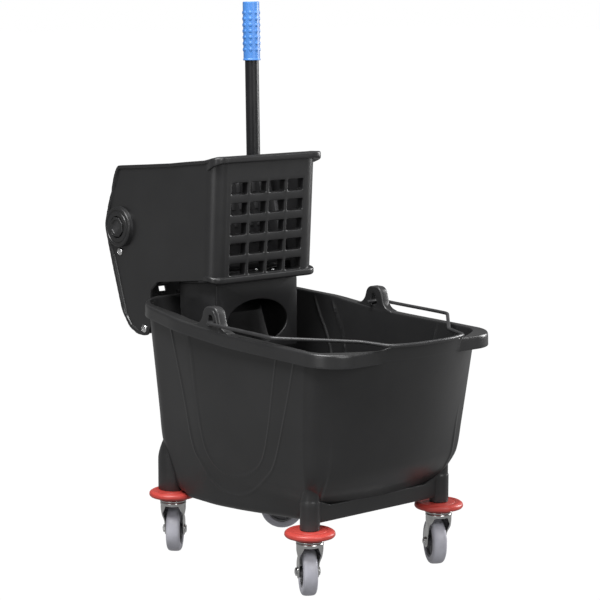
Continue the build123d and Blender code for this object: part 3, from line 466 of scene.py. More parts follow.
def ridges(p, inside=False):
    """Height of the ridges and of the panel steps at points p (n, 3), mm."""
    t = np.zeros(len(p)) if inside else (182.0 - np.abs(p[:, 1])) / 0.653
    x, z = p[:, 0] + 0.743 * t, p[:, 2] + 0.148 * t
    paths = ((V_OUT, 2.3, 2.2, 0.0), (V_IN, 2.0, 2.0, 0.0)) if inside else ((U_OUT, 1.35, 1.75, 0.45), (U_IN, 1.0, 1.65, 0.35))
    out = np.zeros(len(p))
    use = (np.abs(p[:, 1]) > 140) & (x > -170) & (x < 210) & (z > 120)
    idx = np.where(use)[0]
    for a in range(0, len(idx), 4000):
        q = idx[a:a + 4000]
        for path, h, w, step in paths:
            d2 = (x[q][:, None] - path[None, :, 0]) ** 2 + (z[q][:, None] - path[None, :, 1]) ** 2
            k = d2.argmin(1)
            d = np.sqrt(d2[np.arange(len(q)), k])
            kk = np.clip(k, 1, len(path) - 2)
            tx, tz = path[kk + 1, 0] - path[kk - 1, 0], path[kk + 1, 1] - path[kk - 1, 1]
            side = np.sign(tx * (z[q] - path[k, 1]) - tz * (x[q] - path[k, 0]))
            out[q] += h * np.exp(-(d / w) ** 2) - step * smoothstep(-2.5, 2.5, side * d)
    return out


NW, NI = 140, 110
cols = []
wall_rows, inner_rows = None, None
for s in range(NS):
    rx, ry = RIM_XY[s]
    front = AROUND[s][:2] == (1, 0)
    zt = float(rim_top(rx))
    yw = float(wall_xy(s, [416.0])[0, 1])
    if front:
        lip = float(smoothstep(96.0, 74.0, abs(yw)))
        zt = zt * (1 - lip) + LIP_Z * lip
        ry = yw + (ry - yw) * float(smoothstep(84.0, 127.0, abs(yw)))
    zb = zt - BAND

    def W(z):
        return wall_xy(s, z)

    def rim_at(z):
        w = W(z)
        r = np.tile(np.array([rx, ry]), (len(w), 1))
        if front:
            g = 279.0 - w[:, 0]
            r[:, 0] = w[:, 0] + 1.2 * np.logaddexp(0.0, g / 1.2)
        return r

    def outward(z):
        """Unit direction and distance from the wall to the rim's outside."""
        w = W(z)
        p = rim_at(z) - w
        d = np.linalg.norm(p, axis=1)
        u = np.where(d[:, None] > 0.5, p / np.maximum(d, 1e-6)[:, None], wall_n(s, z))
        return w, u, d

    _, _, d0 = outward([zb])
    c = float(smoothstep(0.8, 7.0, d0[0]))
    zc = zb + c * (BAND - LEDGE_T)
    ro = 1.8 + 2.9 * float(smoothstep(1.0, 9.0, d0[0]))
    ri = 1.8
    rows = []

    def put(z, xy):
        rows.append(np.concatenate([xy, np.asarray(z, float)[:, None]], 1))

    # underside edge
    ph = np.radians([90, 75, 60, 45, 30, 15])
    z = 122.0 - 15.5 * np.sin(ph)
    put(z, W(z) - wall_n(s, z) * (13.0 * (1 - np.cos(ph)))[:, None])
    # outside of the wall
    z = 122.0 + (zc - 1.2 * c - 122.0) * np.linspace(0, 1, NW)
    wall_rows = (sum(len(r) for r in rows), NW)
    put(z, W(z))
    # hollow under the ledge, and the band
    off = [(zc - 0.35 * c, 0.35 * c, 0), (zc, 1.2 * c, 0), (zc, -LEDGE_T * c - 1.0 * c, 1), (zc - 1.0 * c, -LEDGE_T * c, 1),
           (zb + 1.2 * c, -LEDGE_T * c, 1), (zb + 0.35 * c, -(LEDGE_T - 0.35) * c, 1), (zb, -(LEDGE_T - 1.2) * c, 1),
           (zb, -1.2 * c, 1), (zb + 0.35 * c, -0.35 * c, 1)]
    z = np.array([o[0] for o in off])
    w, u, d = outward(z)
    far = np.array([o[2] for o in off])
    along = np.array([o[1] for o in off]) + far * d
    along = np.where(far == 1, np.maximum(along, 0.0), np.minimum(along, d))
    put(z, w + u * along[:, None])
    z = np.linspace(zb + 1.2, zt - ro, 7)
    w, u, d = outward(z)
    lean = 0.9 * c * (z - zb) / BAND
    put(z, w + u * (np.maximum(d - lean, 0))[:, None])
    th = np.radians([15, 30, 45, 60, 75, 90])
    z = zt - ro * (1 - np.sin(th))
    w, u, d = outward(z)
    put(z, w + u * (d - 0.9 * c - ro * (1 - np.cos(th)))[:, None])
    # ledge to the inside edge
    w, u, d = outward([zt])
    a = (w + u * (d - 0.9 * c - ro)[:, None])[0]
    n = wall_n(s, [zt])[0]
    b = w[0] - n * (WALL - ri)
    for f in (0.12, 0.4, 0.7, 1.0):
        put([zt], (a + (b - a) * f)[None, :])
    for t in np.radians([30, 60, 90]):
        put([zt - ri * (1 - cos(t))], (b - n * ri * sin(t))[None, :])
    # inside of the wall
    z = np.linspace(zt - ri - 0.4, 126.0, NI)
    inner_rows = (sum(len(r) for r in rows), NI)
    put(z, W(z) - wall_n(s, z) * WALL)
    ph = np.radians([18, 36, 54, 72, 90])
    z = 126.0 - 15.5 * np.sin(ph)
    put(z, W(z) - wall_n(s, z) * (WALL + 14.0 * (1 - np.cos(ph)))[:, None])
    cols.append(np.concatenate(rows, 0))
TUB = np.stack(cols, 1)                     # (rings, around, 3)

# a second ridge runs down the front into the caster columns
part = TUB[wall_rows[0]:wall_rows[0] + wall_rows[1]]
t = np.roll(part, -1, 1) - np.roll(part, 1, 1)
nrm = np.stack([t[..., 1], -t[..., 0]], -1)
nrm /= np.linalg.norm(nrm, axis=-1)[..., None]
across = 0.66 * part[..., 0] - 0.751 * np.abs(part[..., 1])
line = np.interp(part[..., 2], [166.0, 215.0, 265.0, 330.0], [24.0, 36.5, 43.5, 47.0])
h = 1.5 * np.exp(-((across - line) / 2.6) ** 2) * smoothstep(300.0, 225.0, part[..., 2]) * (part[..., 0] > 120.0)
part[..., :2] += nrm * h[..., None]

# raise the ridges on both faces of the side walls
for (r0, cnt), sign in ((wall_rows, 1.0), (inner_rows, -1.0)):
    part = TUB[r0:r0 + cnt]
    t = np.roll(part, -1, 1) - np.roll(part, 1, 1)
    nrm = np.stack([t[..., 1], -t[..., 0]], -1)
    nrm /= np.linalg.norm(nrm, axis=-1)[..., None]
    h = ridges(part.reshape(-1, 3), sign < 0).reshape(part.shape[:2])
    fade = np.ones(cnt)
    edge = 8
    if sign > 0:
        fade[-edge:] = np.linspace(1, 0, edge)
        fade[:4] = np.linspace(0, 1, 4)
    else:
        fade[:edge] = np.linspace(0, 1, edge)
        fade[-4:] = np.linspace(1, 0, 4)
    part[..., :2] += sign * nrm * (h * fade[:, None])[..., None]


def tilt_floor(P):
    P = P.copy()
    P[..., 2] += FLOOR_TILT * (P[..., 0] + 60.0) * np.clip((165.0 - P[..., 2]) / 58.5, 0, 1)
    P[..., 2] += 5.0 * smoothstep(-20.0, 160.0, P[..., 0]) * np.clip((165.0 - P[..., 2]) / 58.5, 0, 1)
    # the floor is raised over the rear bumpers
    rho = np.hypot(P[..., 0] - REAR_STEM[0], np.abs(P[..., 1]) - REAR_STEM[1])
    low = TUB_Z0 + FLOOR_TILT * (P[..., 0] + 60.0)
    P[..., 2] += np.maximum(110.9 - low, 0.0) * smoothstep(51.0, 45.0, rho) * np.clip((128.0 - P[..., 2]) / (128.0 - low), 0, 1)
    return P


bm = bmesh.new()
add_grid(bm, tilt_floor(TUB), True, tilt_floor(np.array([-15.0, 0.0, 106.5])), tilt_floor(np.array([-15.0, 0.0, 110.5])))

OUTLINES = {}


def tucked(p):
    """Points (n, 3), with those inside the tub drawn back into its wall."""
    p = p.copy()
    for q in p:
        k = max(107, int(round(q[2])))
        if k not in OUTLINES:
            OUTLINES[k] = np.array([wall_xy(s, [float(k)])[0] for s in range(0, NS, 2)])
        o = OUTLINES[k]
        i = int(((o - q[:2]) ** 2).sum(1).argmin())
        t = o[(i + 1) % len(o)] - o[i - 1]
        n = np.array([t[1], -t[0]]) / np.hypot(*t)
        if float(n @ (o[i] - q[:2])) > 2.0:
            q[:2] = o[i] - 2.0 * n
    return p


# columns over the casters
def column(bm, rings, n=44):
    P = []
    for x, y, z, r in rings:
        a = np.linspace(0, 2 * pi, n, endpoint=False)
        P.append(tucked(np.stack([x + r * np.cos(a), y + r * np.sin(a), np.full(n, z)], 1)))
    P = np.array(P)
    add_grid(bm, P, True, P[0].mean(0), P[-1].mean(0))


for sy in (1, -1):
    x, y = FRONT_STEM[0], FRONT_STEM[1] * sy
    rings = [(x, y, 110.2, 14.5), (x, y, 110.3, 15.6), (x, y, 111.2, 16.5), (x, y, 130, 16.5), (x, y, 150, 16.5), (x, y, 156.6, 16.5)]
    rings += [(x, y, 158.0, 16.2), (x + 0.2, y, 159.2, 15.5), (x + 0.6, y, 161.5, 15.0), (x + 1.6, y, 168.0, 14.3), (x + 3.0, y, 176.0, 13.2),
              (x + 5.0, y, 186.0, 11.4), (x + 7.0, y, 196.0, 9.0)]
    column(bm, rings)
    x, y = REAR_STEM[0] - 8.0, (REAR_STEM[1] - 7.0) * sy
    rings = [(x, y, 110.2, 24.0), (x, y, 110.4, 25.7), (x, y, 111.6, 26.5), (x, y, 140, 26.5)]
    for z, r in ((150, 26.5), (160, 26.5), (168, 26.3), (176, 25.7), (184, 24.5), (192, 22.7), (200, 20.2), (206, 17.6), (211, 14.2), (214.5, 10.4), (216.5, 6.0)):
        rings.append((x + 0.10 * max(z - 170, 0), y - sy * 0.08 * max(z - 170, 0), z, r))
    column(bm, rings)

# end skirts between the columns
front = rounded_poly([(-150, 157), (-134, 156), (-108, 146.5), (108, 146.5), (134, 156), (150, 157)], [0, 10, 16, 16, 10, 0], 8)
front = np.array(front)
rings = []
for v in np.linspace(-150.0, 150.0, 91):
    zt = float(np.interp(v, front[:, 0], front[:, 1]))
    sec = []
    for x, z in ([(180.0, zt - 1.0 - (zt - 122.0) * f) for f in np.linspace(0, 1, 9)] + [(181.0, 119.8), (185.4, 119.8)]
                 + [(186.4, 121.0 + (zt - 122.2) * f) for f in np.linspace(0, 1, 9)] + [(186.0, zt - 0.3), (185.2, zt), (181.2, zt), (180.3, zt - 0.3)]):
        # where the wall swells past the skirt, the skirt stays within the wall
        j = [float(pchip(KEYS[:, 0], KEYS[:, c], np.array([max(z - 7.0, 107.0)]))[0]) for c in (2, 3, 9)]
        xw = j[0] + j[2] * (1 - min(abs(v) / j[1], 1.0) ** 2)
        sec.append((max(x, xw - (2.6 if x < 183 else 1.6)), v, z))
    rings.append(sec)
add_grid(bm, np.array(rings), True, "flat", "flat")
# the skirt's top is closed back to the wall beside the columns
for sy in (1, -1):
    rings = []
    for v in np.linspace(40.0, 150.0, 28):
        xw = min(175.3 + 15.6 * (1 - min(v / 145.5, 1.0) ** 2) - 2.5, 180.0)
        rings.append([(xw, sy * v, 140.5), (181.2, sy * v, 140.5), (181.2, sy * v, 145.6), (xw, sy * v, 145.0)])
    add_grid(bm, np.array(rings)[:, ::sy], True, "flat", "flat")
rear = [(-136, 119.8), (136, 119.8), (136, 148), (-136, 148)]
add_plate(bm, rear, [], lambda u, v, t: (t, u, v), -206.0, -200.0, 1.0)

# ears of the bail, with a slot for the wire
BX = -17.0
ear = rounded_poly([(BX - 46, rim_top(BX - 46) - 5), (BX + 46, rim_top(BX + 46) - 5), (BX + 46, rim_top(BX + 46) + 0.2),
                    (BX + 27, rim_top(BX + 27) + 4.5), (BX + 17.5, 459.2), (BX - 15.5, 459.2),
                    (BX - 25, rim_top(BX - 25) + 5), (BX - 46, rim_top(BX - 46) + 0.2)],
                   [0, 0, 0, 20, 15, 15, 22, 0], 10)
slot = rounded_poly([(BX - 5.4, 427), (BX + 7.6, 427), (BX + 7.6, 436), (BX + 3.6, 445), (BX - 3.6, 445), (BX - 5.4, 436)],
                    [3.5, 3.5, 3.5, 3.3, 3.3, 3.5], 5)
for s in (1, -1):
    add_plate(bm, ear, [slot], lambda u, v, t: (u, t, v), s * 178.6, s * 195.5, 2.2, 4)
    # rib up the pouring side of the ear
    rib = smooth_path([(BX + 1.0, 453.6), (BX + 9.0, 451.4), (BX + 13.6, 445.0), (BX + 17.0, 436.0), (BX + 21.0, 425.0), (BX + 24.0, 418.0)], 8)
    rings = []
    for i, (u, v) in enumerate(rib):
        d = rib[min(i + 1, len(rib) - 1)] - rib[max(i - 1, 0)]
        d = d / np.hypot(*d)
        w = 1.5 * float(smoothstep(0, 6, i))
        rings.append([(u - d[1] * w * cos(a), s * (195.2 + 1.5 * w / 1.5 * sin(a)), v + d[0] * w * cos(a)) for a in np.linspace(0, 2 * pi, 12, endpoint=False)])
    add_grid(bm, np.array(rings), True, "flat", "flat")
finish_mesh(bm, "tub", M_TUB, "bucket", ["bucket_tub"], 40.0)

# ------------------------------------------------------------- turned and swept
def lathe(bm, prof, put, n=48, closed=True):
    """Turns an (r, h) outline about an axis; put(x, y, h) gives mm."""
    a = np.linspace(0, 2 * pi, n, endpoint=False)
    P = np.array([[put(r * cos(t), r * sin(t), h) for t in a] for r, h in prof])
    if closed:
        P = np.concatenate([P, P[:1]], 0)
    add_grid(bm, P, True)


def hexagon(bm, put, r, h0, h1, chamfer=0.7):
    """Six-sided head between h0 and h1, chamfered on the h1 side."""
    d = 1.0 if h1 > h0 else -1.0
    a = np.linspace(0, 2 * pi, 6, endpoint=False) + 0.3
    rings = [(r, h0), (r, h1 - d * chamfer), (r - 1.4 * chamfer, h1)]
    P = np.array([[put(q * cos(t), q * sin(t), h) for t in a] for q, h in rings])
    add_grid(bm, P, True, "flat", "flat")


def add_block(bm, x0, x1, y0, y1, z0, z1, bevel=0.8):
    add_plate(bm, [(x0, y0), (x1, y0), (x1, y1), (x0, y1)], [], lambda u, v, t: (u, v, t), z0, z1, bevel, 2)


# -------------------------------------------------------------------- casters
CASTERS = {"front_right": (1, -1, 146.5), "front_left": (1, 1, 150.0), "rear_right": (-1, -1, 134.0), "rear_left": (-1, 1, -131.0)}
TRAIL, AXLE_Z = 22.0, 34.5
LEG_Z = np.array([23.6, 27.0, 34.5, 44.0, 55.0, 66.0, 76.0, 86.0])
LEG_L = np.array([20.8, 13.4, 11.0, 9.4, 2.5, -7.0, -15.0, -18.6])
LEG_R = np.array([23.2, 30.6, 33.0, 33.2, 30.6, 26.2, 21.6, 18.6])
for name, (sx, sy, ang) in CASTERS.items():
    cx0, cy0 = (FRONT_STEM[0], sy * FRONT_STEM[1]) if sx > 0 else (REAR_STEM[0], sy * REAR_STEM[1])
    cc, ss = cos(radians(ang)), sin(radians(ang))
    place = lambda x, y, z: (cx0 + cc * x - ss * y, cy0 + ss * x + cc * y, z)
    wheel = lambda x, y, h: place(TRAIL + x, h, AXLE_Z + y)
    # soft bumper ring
    bm = bmesh.new()
    prof = rounded_poly([(5.6, 94.45), (20.5, 94.45), (20.5, 98.7), (39.6, 99.2), (42.0, 102.2), (41.6, 107.0), (36.4, 110.3), (29.2, 109.9),
                         (28.3, 108.8), (27.4, 109.9), (5.6, 109.9)], [0, 0.9, 1.0, 3.0, 2.4, 4.2, 5.0, 1.0, 0.6, 0.8, 0], 5)
    lathe(bm, prof, place, 72)
    finish_mesh(bm, "bumper_ring_" + name, M_RED, "bucket", ["bumper_" + name], 45)
    # stem, pressed cap, king pin
    bm = bmesh.new()
    prof = [(0, 78.6), (4.4, 78.6), (5.8, 79.0), (6.5, 80.0), (6.5, 82.5), (4.0, 82.6), (4.0, 91.1), (21.4, 91.1), (23.0, 91.3), (23.8, 91.9),
            (24.0, 92.7), (23.8, 93.5), (23.1, 94.1), (21.8, 94.35), (5.5, 94.35), (5.5, 141.8), (4.4, 143.0), (0, 143.0)]
    lathe(bm, prof, place, 64, closed=False)
    finish_mesh(bm, "stem_" + name, M_ZINC, "bucket", ["caster_stem_" + name], 40)
    # swivel fork drawn from one round cup
    bm = bmesh.new()
    prof = rounded_poly([(4.1, 83.0), (20.6, 83.0), (22.5, 85.2), (22.9, 88.2), (21.9, 90.4), (20.5, 90.4), (20.5, 86.0), (4.1, 86.0)],
                        [0, 2.2, 2.2, 2.2, 0.8, 0.5, 0.6, 0], 4)
    lathe(bm, prof, place, 64)
    for side in (1, -1):
        rings = []
        for z in np.concatenate([np.linspace(23.6, 30, 8), np.linspace(32, 85.6, 26)]):
            xl, xr = float(pchip(LEG_Z, LEG_L, np.array([z]))[0]), float(pchip(LEG_Z, LEG_R, np.array([z]))[0])
            g = float(smoothstep(50.0, 80.0, z))

            def y_at(x, g=g):
                return 17.2 * (1 - g) + g * sqrt(max(22.3 ** 2 - min(abs(x), 18.8) ** 2, 1.0))
            ring = []
            for f in np.linspace(0, 1, 13):
                x = xl + 0.5 + (xr - xl - 1.0) * f
                ring.append((x, y_at(x)))
            ring += [(xr - 0.12, y_at(xr) - 0.45), (xr, y_at(xr) - 1.3), (xr - 0.12, y_at(xr) - 2.15)]
            for f in np.linspace(1, 0, 13):
                x = xl + 0.5 + (xr - xl - 1.0) * f
                ring.append((x, y_at(x) - 2.6))
            ring += [(xl + 0.12, y_at(xl) - 2.15), (xl, y_at(xl) - 1.3), (xl + 0.12, y_at(xl) - 0.45)]
            rings.append([place(x, side * y, z) for x, y in ring])
        add_grid(bm, np.array(rings), True, "flat", "flat")
        # round pressing about the axle hole
        prof = rounded_poly([(4.1, 17.0), (8.6, 17.0), (8.0, 17.9), (4.1, 17.9)], [0, 0.3, 0.3, 0], 2)
        lathe(bm, prof, lambda x, y, h, s=side: wheel(x, y, s * h), 32)
    finish_mesh(bm, "fork_" + name, M_ZINC, "caster_" + name, ["caster_fork_" + name], 50)
    # axle bolt and nut
    bm = bmesh.new()
    lathe(bm, [(0, -17.2), (4.0, -17.2), (4.0, 21.0), (3.3, 21.8), (0, 21.8)], wheel, 28, closed=False)
    lathe(bm, rounded_poly([(0.5, -17.9), (7.6, -17.9), (7.6, -18.5), (0.5, -18.5)], [0, 0.25, 0.25, 0], 2), wheel, 28)
    hexagon(bm, wheel, 6.9, -18.4, -20.4)
    finish_mesh(bm, "bolt_" + name, M_SCREW, "caster_" + name, ["axle_bolt_" + name], 32)
    bm = bmesh.new()
    hexagon(bm, wheel, 6.9, 17.9, 21.0)
    finish_mesh(bm, "nut_" + name, M_SCREW, "caster_" + name, ["axle_nut_" + name], 32)
    # moulded wheel core with a dished web and ribs
    bm = bmesh.new()
    half = [(4.1, 14.2), (8.3, 14.2), (9.0, 13.5), (9.3, 8.2), (10.4, 7.2), (21.8, 6.4), (23.4, 7.0), (24.0, 8.2), (24.3, 9.9), (24.9, 10.4), (27.5, 10.4)]
    lathe(bm, half + [(r, -h) for r, h in reversed(half)], wheel, 64)
    for k in range(6):
        t = k * pi / 3 + 0.2
        for side in (1, -1):
            add_plate(bm, [(8.6, -1.1), (24.2, -1.1), (24.2, 1.1), (8.6, 1.1)], [],
                      lambda u, v, h, t=t, s=side: wheel(u * cos(t) - v * sin(t), u * sin(t) + v * cos(t), s * h), 5.5, 9.0, 0.35, 1)
    finish_mesh(bm, "core_" + name, M_CORE, "wheel_" + name, ["wheel_core_" + name], 40)
    # tyre with rounded shoulders and a slightly crowned tread
    bm = bmesh.new()
    half = [(27.55, 11.4), (28.0, 11.9), (30.0, 12.0), (33.5, 12.0), (35.6, 11.8), (37.1, 11.1), (38.3, 10.0), (39.1, 8.6), (39.55, 7.0), (39.8, 5.0), (39.95, 2.5)]
    lathe(bm, half + [(40.0, 0.0)] + [(r, -h) for r, h in reversed(half)], wheel, 88)
    finish_mesh(bm, "tyre_ring_" + name, M_TYRE, "wheel_" + name, ["tyre_" + name], 50)

# ----------------------------------------------------------------------- bail
half = [(-19.0, 168.0), (-19.0, 200.0), (146.0, 200.0), (247.0, 100.0), (296.0, 84.0), (309.0, 44.0)]
flat = half + [(x, -y) for x, y in reversed(half)]
path = rounded_poly(flat, [0, 4.3, 22, 26, 16, 160, 160, 16, 26, 22, 4.3, 0], 14)
keep_pts = [path[0]]
for q in path[1:]:
    if hypot(q[0] - keep_pts[-1][0], q[1] - keep_pts[-1][1]) > 0.3:
        keep_pts.append(q)
dense = []
for p, q in zip(keep_pts[:-1], keep_pts[1:]):
    m = max(1, int(hypot(q[0] - p[0], q[1] - p[1]) / 8))
    dense += [(p[0] + (q[0] - p[0]) * k / m, p[1] + (q[1] - p[1]) * k / m) for k in range(m)]
dense.append(keep_pts[-1])
C3 = np.array([(x, y, 436.0 - 0.043 * (x + 17.0) - 2.0 - 2.0 * float(smoothstep(150.0, -10.0, x))) for x, y in dense])
T = np.gradient(C3, axis=0)
T /= np.linalg.norm(T, axis=1)[:, None]
U = np.cross(T, np.array([0.043, 0.0, 1.0]))
U /= np.linalg.norm(U, axis=1)[:, None]
V = np.cross(U, T)
ang = np.linspace(0, 2 * pi, 20, endpoint=False)
rings = [C3[i] + 3.0 * r * (np.outer(np.cos(ang), U[i]) + np.outer(np.sin(ang), V[i])) + o * T[i]
         for i, r, o in [(0, 0.75, -0.5)] + [(i, 1.0, 0.0) for i in range(len(C3))] + [(len(C3) - 1, 0.75, 0.5)]]
bm = bmesh.new()
add_grid(bm, np.array(rings), True, "flat", "flat")
finish_mesh(bm, "bail", M_WIRE, "bail", ["bail_wire"], 50)

# -------------------------------------------------------------- handle, grip
AX, AZ, HX, HZ = -363.0, 558.3, -176.0, 498.0
TH = radians(-1.2)
HANDLE_X, HANDLE_Y = AX + 70.8, 137.0


def on_lever(x, y, z):
    dx, dz = HANDLE_X + x - AX, z - AZ
    return (AX + dx * cos(TH) + dz * sin(TH), HANDLE_Y + y, AZ - dx * sin(TH) + dz * cos(TH))


bm = bmesh.new()
lathe(bm, [(11.1, 560.6), (12.4, 560.5), (12.7, 560.9)] + [(12.7, z) for z in np.linspace(580, 940, 19)] + [(12.7, 950.0), (12.4, 950.4), (11.1, 950.4)], on_lever, 56)
finish_mesh(bm, "tube", M_TUBE, "lever", ["handle_tube"], 50)

bm = bmesh.new()
zs = np.concatenate([np.linspace(850.0, 854.0, 9), np.linspace(854.6, 952.6, 150), np.linspace(953.0, 955.0, 5)])
ga = np.linspace(0, 2 * pi, 128, endpoint=False)
rows = [956.3 - 19.8 - 11.15 * k for k in range(7)]
GRIP = []
for z in zs:
    r = 15.2 + 0.9 * float(smoothstep(854.0, 851.6, z)) - 0.5 * float(smoothstep(850.5, 850.0, z))
    rr = np.full(128, r)
    for row in rows:
        if abs(z - row) < 3.4:
            for k in range(8):
                da = (ga - radians(-47.5 + 45 * k) + pi) % (2 * pi) - pi
                d = np.sqrt((da * 15.2) ** 2 + (z - row) ** 2)
                rr = np.maximum(rr, r + 1.35 * np.sqrt(np.clip(1 - (d / 3.3) ** 2, 0, 1)) - 0.05 * (d > 3.2))
    GRIP.append([on_lever(q * cos(t), q * sin(t), z) for q, t in zip(rr, ga)])
for t in np.radians([20, 40, 60, 80, 90]):
    GRIP.append([on_lever((13.7 + 1.5 * cos(t)) * cos(a), (13.7 + 1.5 * cos(t)) * sin(a), 955.0 + 1.5 * sin(t)) for a in ga])
GRIP = np.array(GRIP)
inner = np.array([[on_lever(12.75 * cos(a), 12.75 * sin(a), z) for a in ga] for z in (951.0, 850.0)])
add_grid(bm, GRIP, True, None, np.array(on_lever(0, 0, 956.5)) - np.array([0, 0, 0.0]))
add_grid(bm, np.concatenate([inner, GRIP[:1]], 0), True, np.array(on_lever(0, 0, 951.0)), None)
finish_mesh(bm, "grip", M_BLUE, "lever", ["handle_grip"], 50)

# -------------------------------------------------------------------- wringer
SIDE = [(-80.0, 698.0), (-104.0, 694.5), (-219.0, 680.8), (-288.0, 674.8), (-368.0, 668.2), (-376.5, 655.0), (-399.5, 589.0), (-408.0, 559.0),
        (-400.0, 530.0), (-382.0, 474.0), (-359.0, 406.0), (-337.0, 379.0), (-314.0, 369.5), (-288.0, 368.5), (-279.0, 388.0), (-277.0, 453.0),
        (-258.0, 468.5), (-113.0, 484.5), (-80.0, 480.5)]
SIDE_R = [0, 60, 60, 60, 10, 14, 60, 24, 60, 80, 36, 22, 16, 12, 14, 13, 12, 30, 0]
edge_pts = np.array(rounded_poly(SIDE, SIDE_R, 10))
left = edge_pts[:, 0].argmin()
top_pts, low_pts = edge_pts[:left + 1][::-1], edge_pts[left:]
SIDE_Y, CORNER = 118.0, 26.0


def monotone(p):
    keep_i = [0]
    for i in range(1, len(p)):
        if p[i, 0] > p[keep_i[-1], 0] + 1e-4:
            keep_i.append(i)
    return p[keep_i]


top_pts, low_pts = monotone(top_pts), monotone(low_pts)


def z_top(x):
    return np.interp(x, top_pts[:, 0], top_pts[:, 1])


def z_low(x):
    return np.interp(x, low_pts[:, 0], low_pts[:, 1])


def face_x(z):
    return -103.5 + 11.5 * (z - 480.0) / 220.0


fine = []
for p, q in zip(edge_pts, np.roll(edge_pts, -1, 0)):
    m = max(1, int(np.hypot(*(q - p)) / 2.0))
    fine += [p + (q - p) * k / m for k in range(m)]
fine = np.array([p for p in fine if p[0] < -100.0])


def edge_distance(x, z):
    out = np.empty(len(x))
    for a in range(0, len(x), 4000):
        d2 = (x[a:a + 4000, None] - fine[None, :, 0]) ** 2 + (z[a:a + 4000, None] - fine[None, :, 1]) ** 2
        out[a:a + 4000] = np.sqrt(d2.min(1))
    return out


x0 = edge_pts[left, 0]
side_x = np.unique(np.round(np.concatenate([x0 + np.array([0.02, 0.15, 0.4, 0.8, 1.4, 2.2, 3.2, 4.4, 5.8, 7.4]), np.linspace(x0 + 8.4, -359, 54),
                            np.linspace(-358, -284, 36), np.linspace(-282, -274, 17), np.linspace(-272, -127, 56)]), 3))
columns = [("side", x) for x in side_x] + [("arc", f) for f in np.linspace(0, pi / 2, 19)] + [("arc", pi / 2 + 1.0)]
edge_d = np.array([0.0, 0.2, 0.5, 0.9, 1.4, 2.0, 3.0, 4.0, 5.0, 5.6, 6.2, 6.8, 7.4, 8.2, 9.2, 10.2, 11.2, 12.2, 13.6])


def wringer_side(sign):
    loops = []
    for kind, v in columns:
        if kind == "side":
            lo_z, hi_z = float(z_low(v)), float(z_top(v))
        else:
            # the last column lies flat on the front face
            on_face, v = v > pi / 2, min(v, pi / 2)
            lo_z, hi_z = float(z_low(face_x(484.0) - CORNER + CORNER * sin(v))), float(z_top(face_x(690.0) - CORNER + CORNER * sin(v)))
        H = hi_z - lo_z
        e = edge_d * min(1.0, 0.5 * H / 16.0)
        z = np.concatenate([lo_z + e, np.linspace(lo_z + e[-1], hi_z - e[-1], 64)[1:-1], hi_z - e[::-1]])
        if kind == "side":
            w = float(smoothstep(-190.0, -121.0, v))
            x = v + (face_x(z) - face_x(590.0)) * w
            y = np.full_like(z, SIDE_Y)
            nx, ny = np.zeros_like(z), np.ones_like(z)
            dist = np.minimum(edge_distance(x, z), np.minimum(z - lo_z, hi_z - z) if v > -284 else 1e9)
        else:
            x = face_x(z) - CORNER + CORNER * sin(v)
            y = np.full_like(z, SIDE_Y - CORNER + CORNER * cos(v) - (1.2 if on_face else 0.0))
            nx, ny = np.full_like(z, sin(v)), np.full_like(z, cos(v))
            dist = np.minimum(z - lo_z, hi_z - z)
        # raised border along the top and the back
        upper = smoothstep(600.0, 640.0, z) * smoothstep(-106.0, -122.0, x)
        back = smoothstep(-286.0, -302.0, x) * (1 - smoothstep(600.0, 640.0, z))
        raise_ = np.maximum(3.0 * smoothstep(7.0, 5.8, dist) * upper, 2.6 * smoothstep(7.8, 5.6, dist) * back)
        d = np.clip(dist, 0, 1.8)
        drop = 1.8 - np.sqrt(np.maximum(1.8 ** 2 - (1.8 - d) ** 2, 0))
        out = raise_ - drop
        outer = np.stack([x + nx * out, sign * (y + ny * out), z], 1)
        inner = np.stack([x - nx * 4.0, sign * (y - ny * 4.0), z], 1)
        loops.append(np.concatenate([outer, inner[::-1]], 0))
    return np.array(loops)


bm = bmesh.new()
for sign in (1, -1):
    add_grid(bm, wringer_side(sign), True, "flat", "flat")
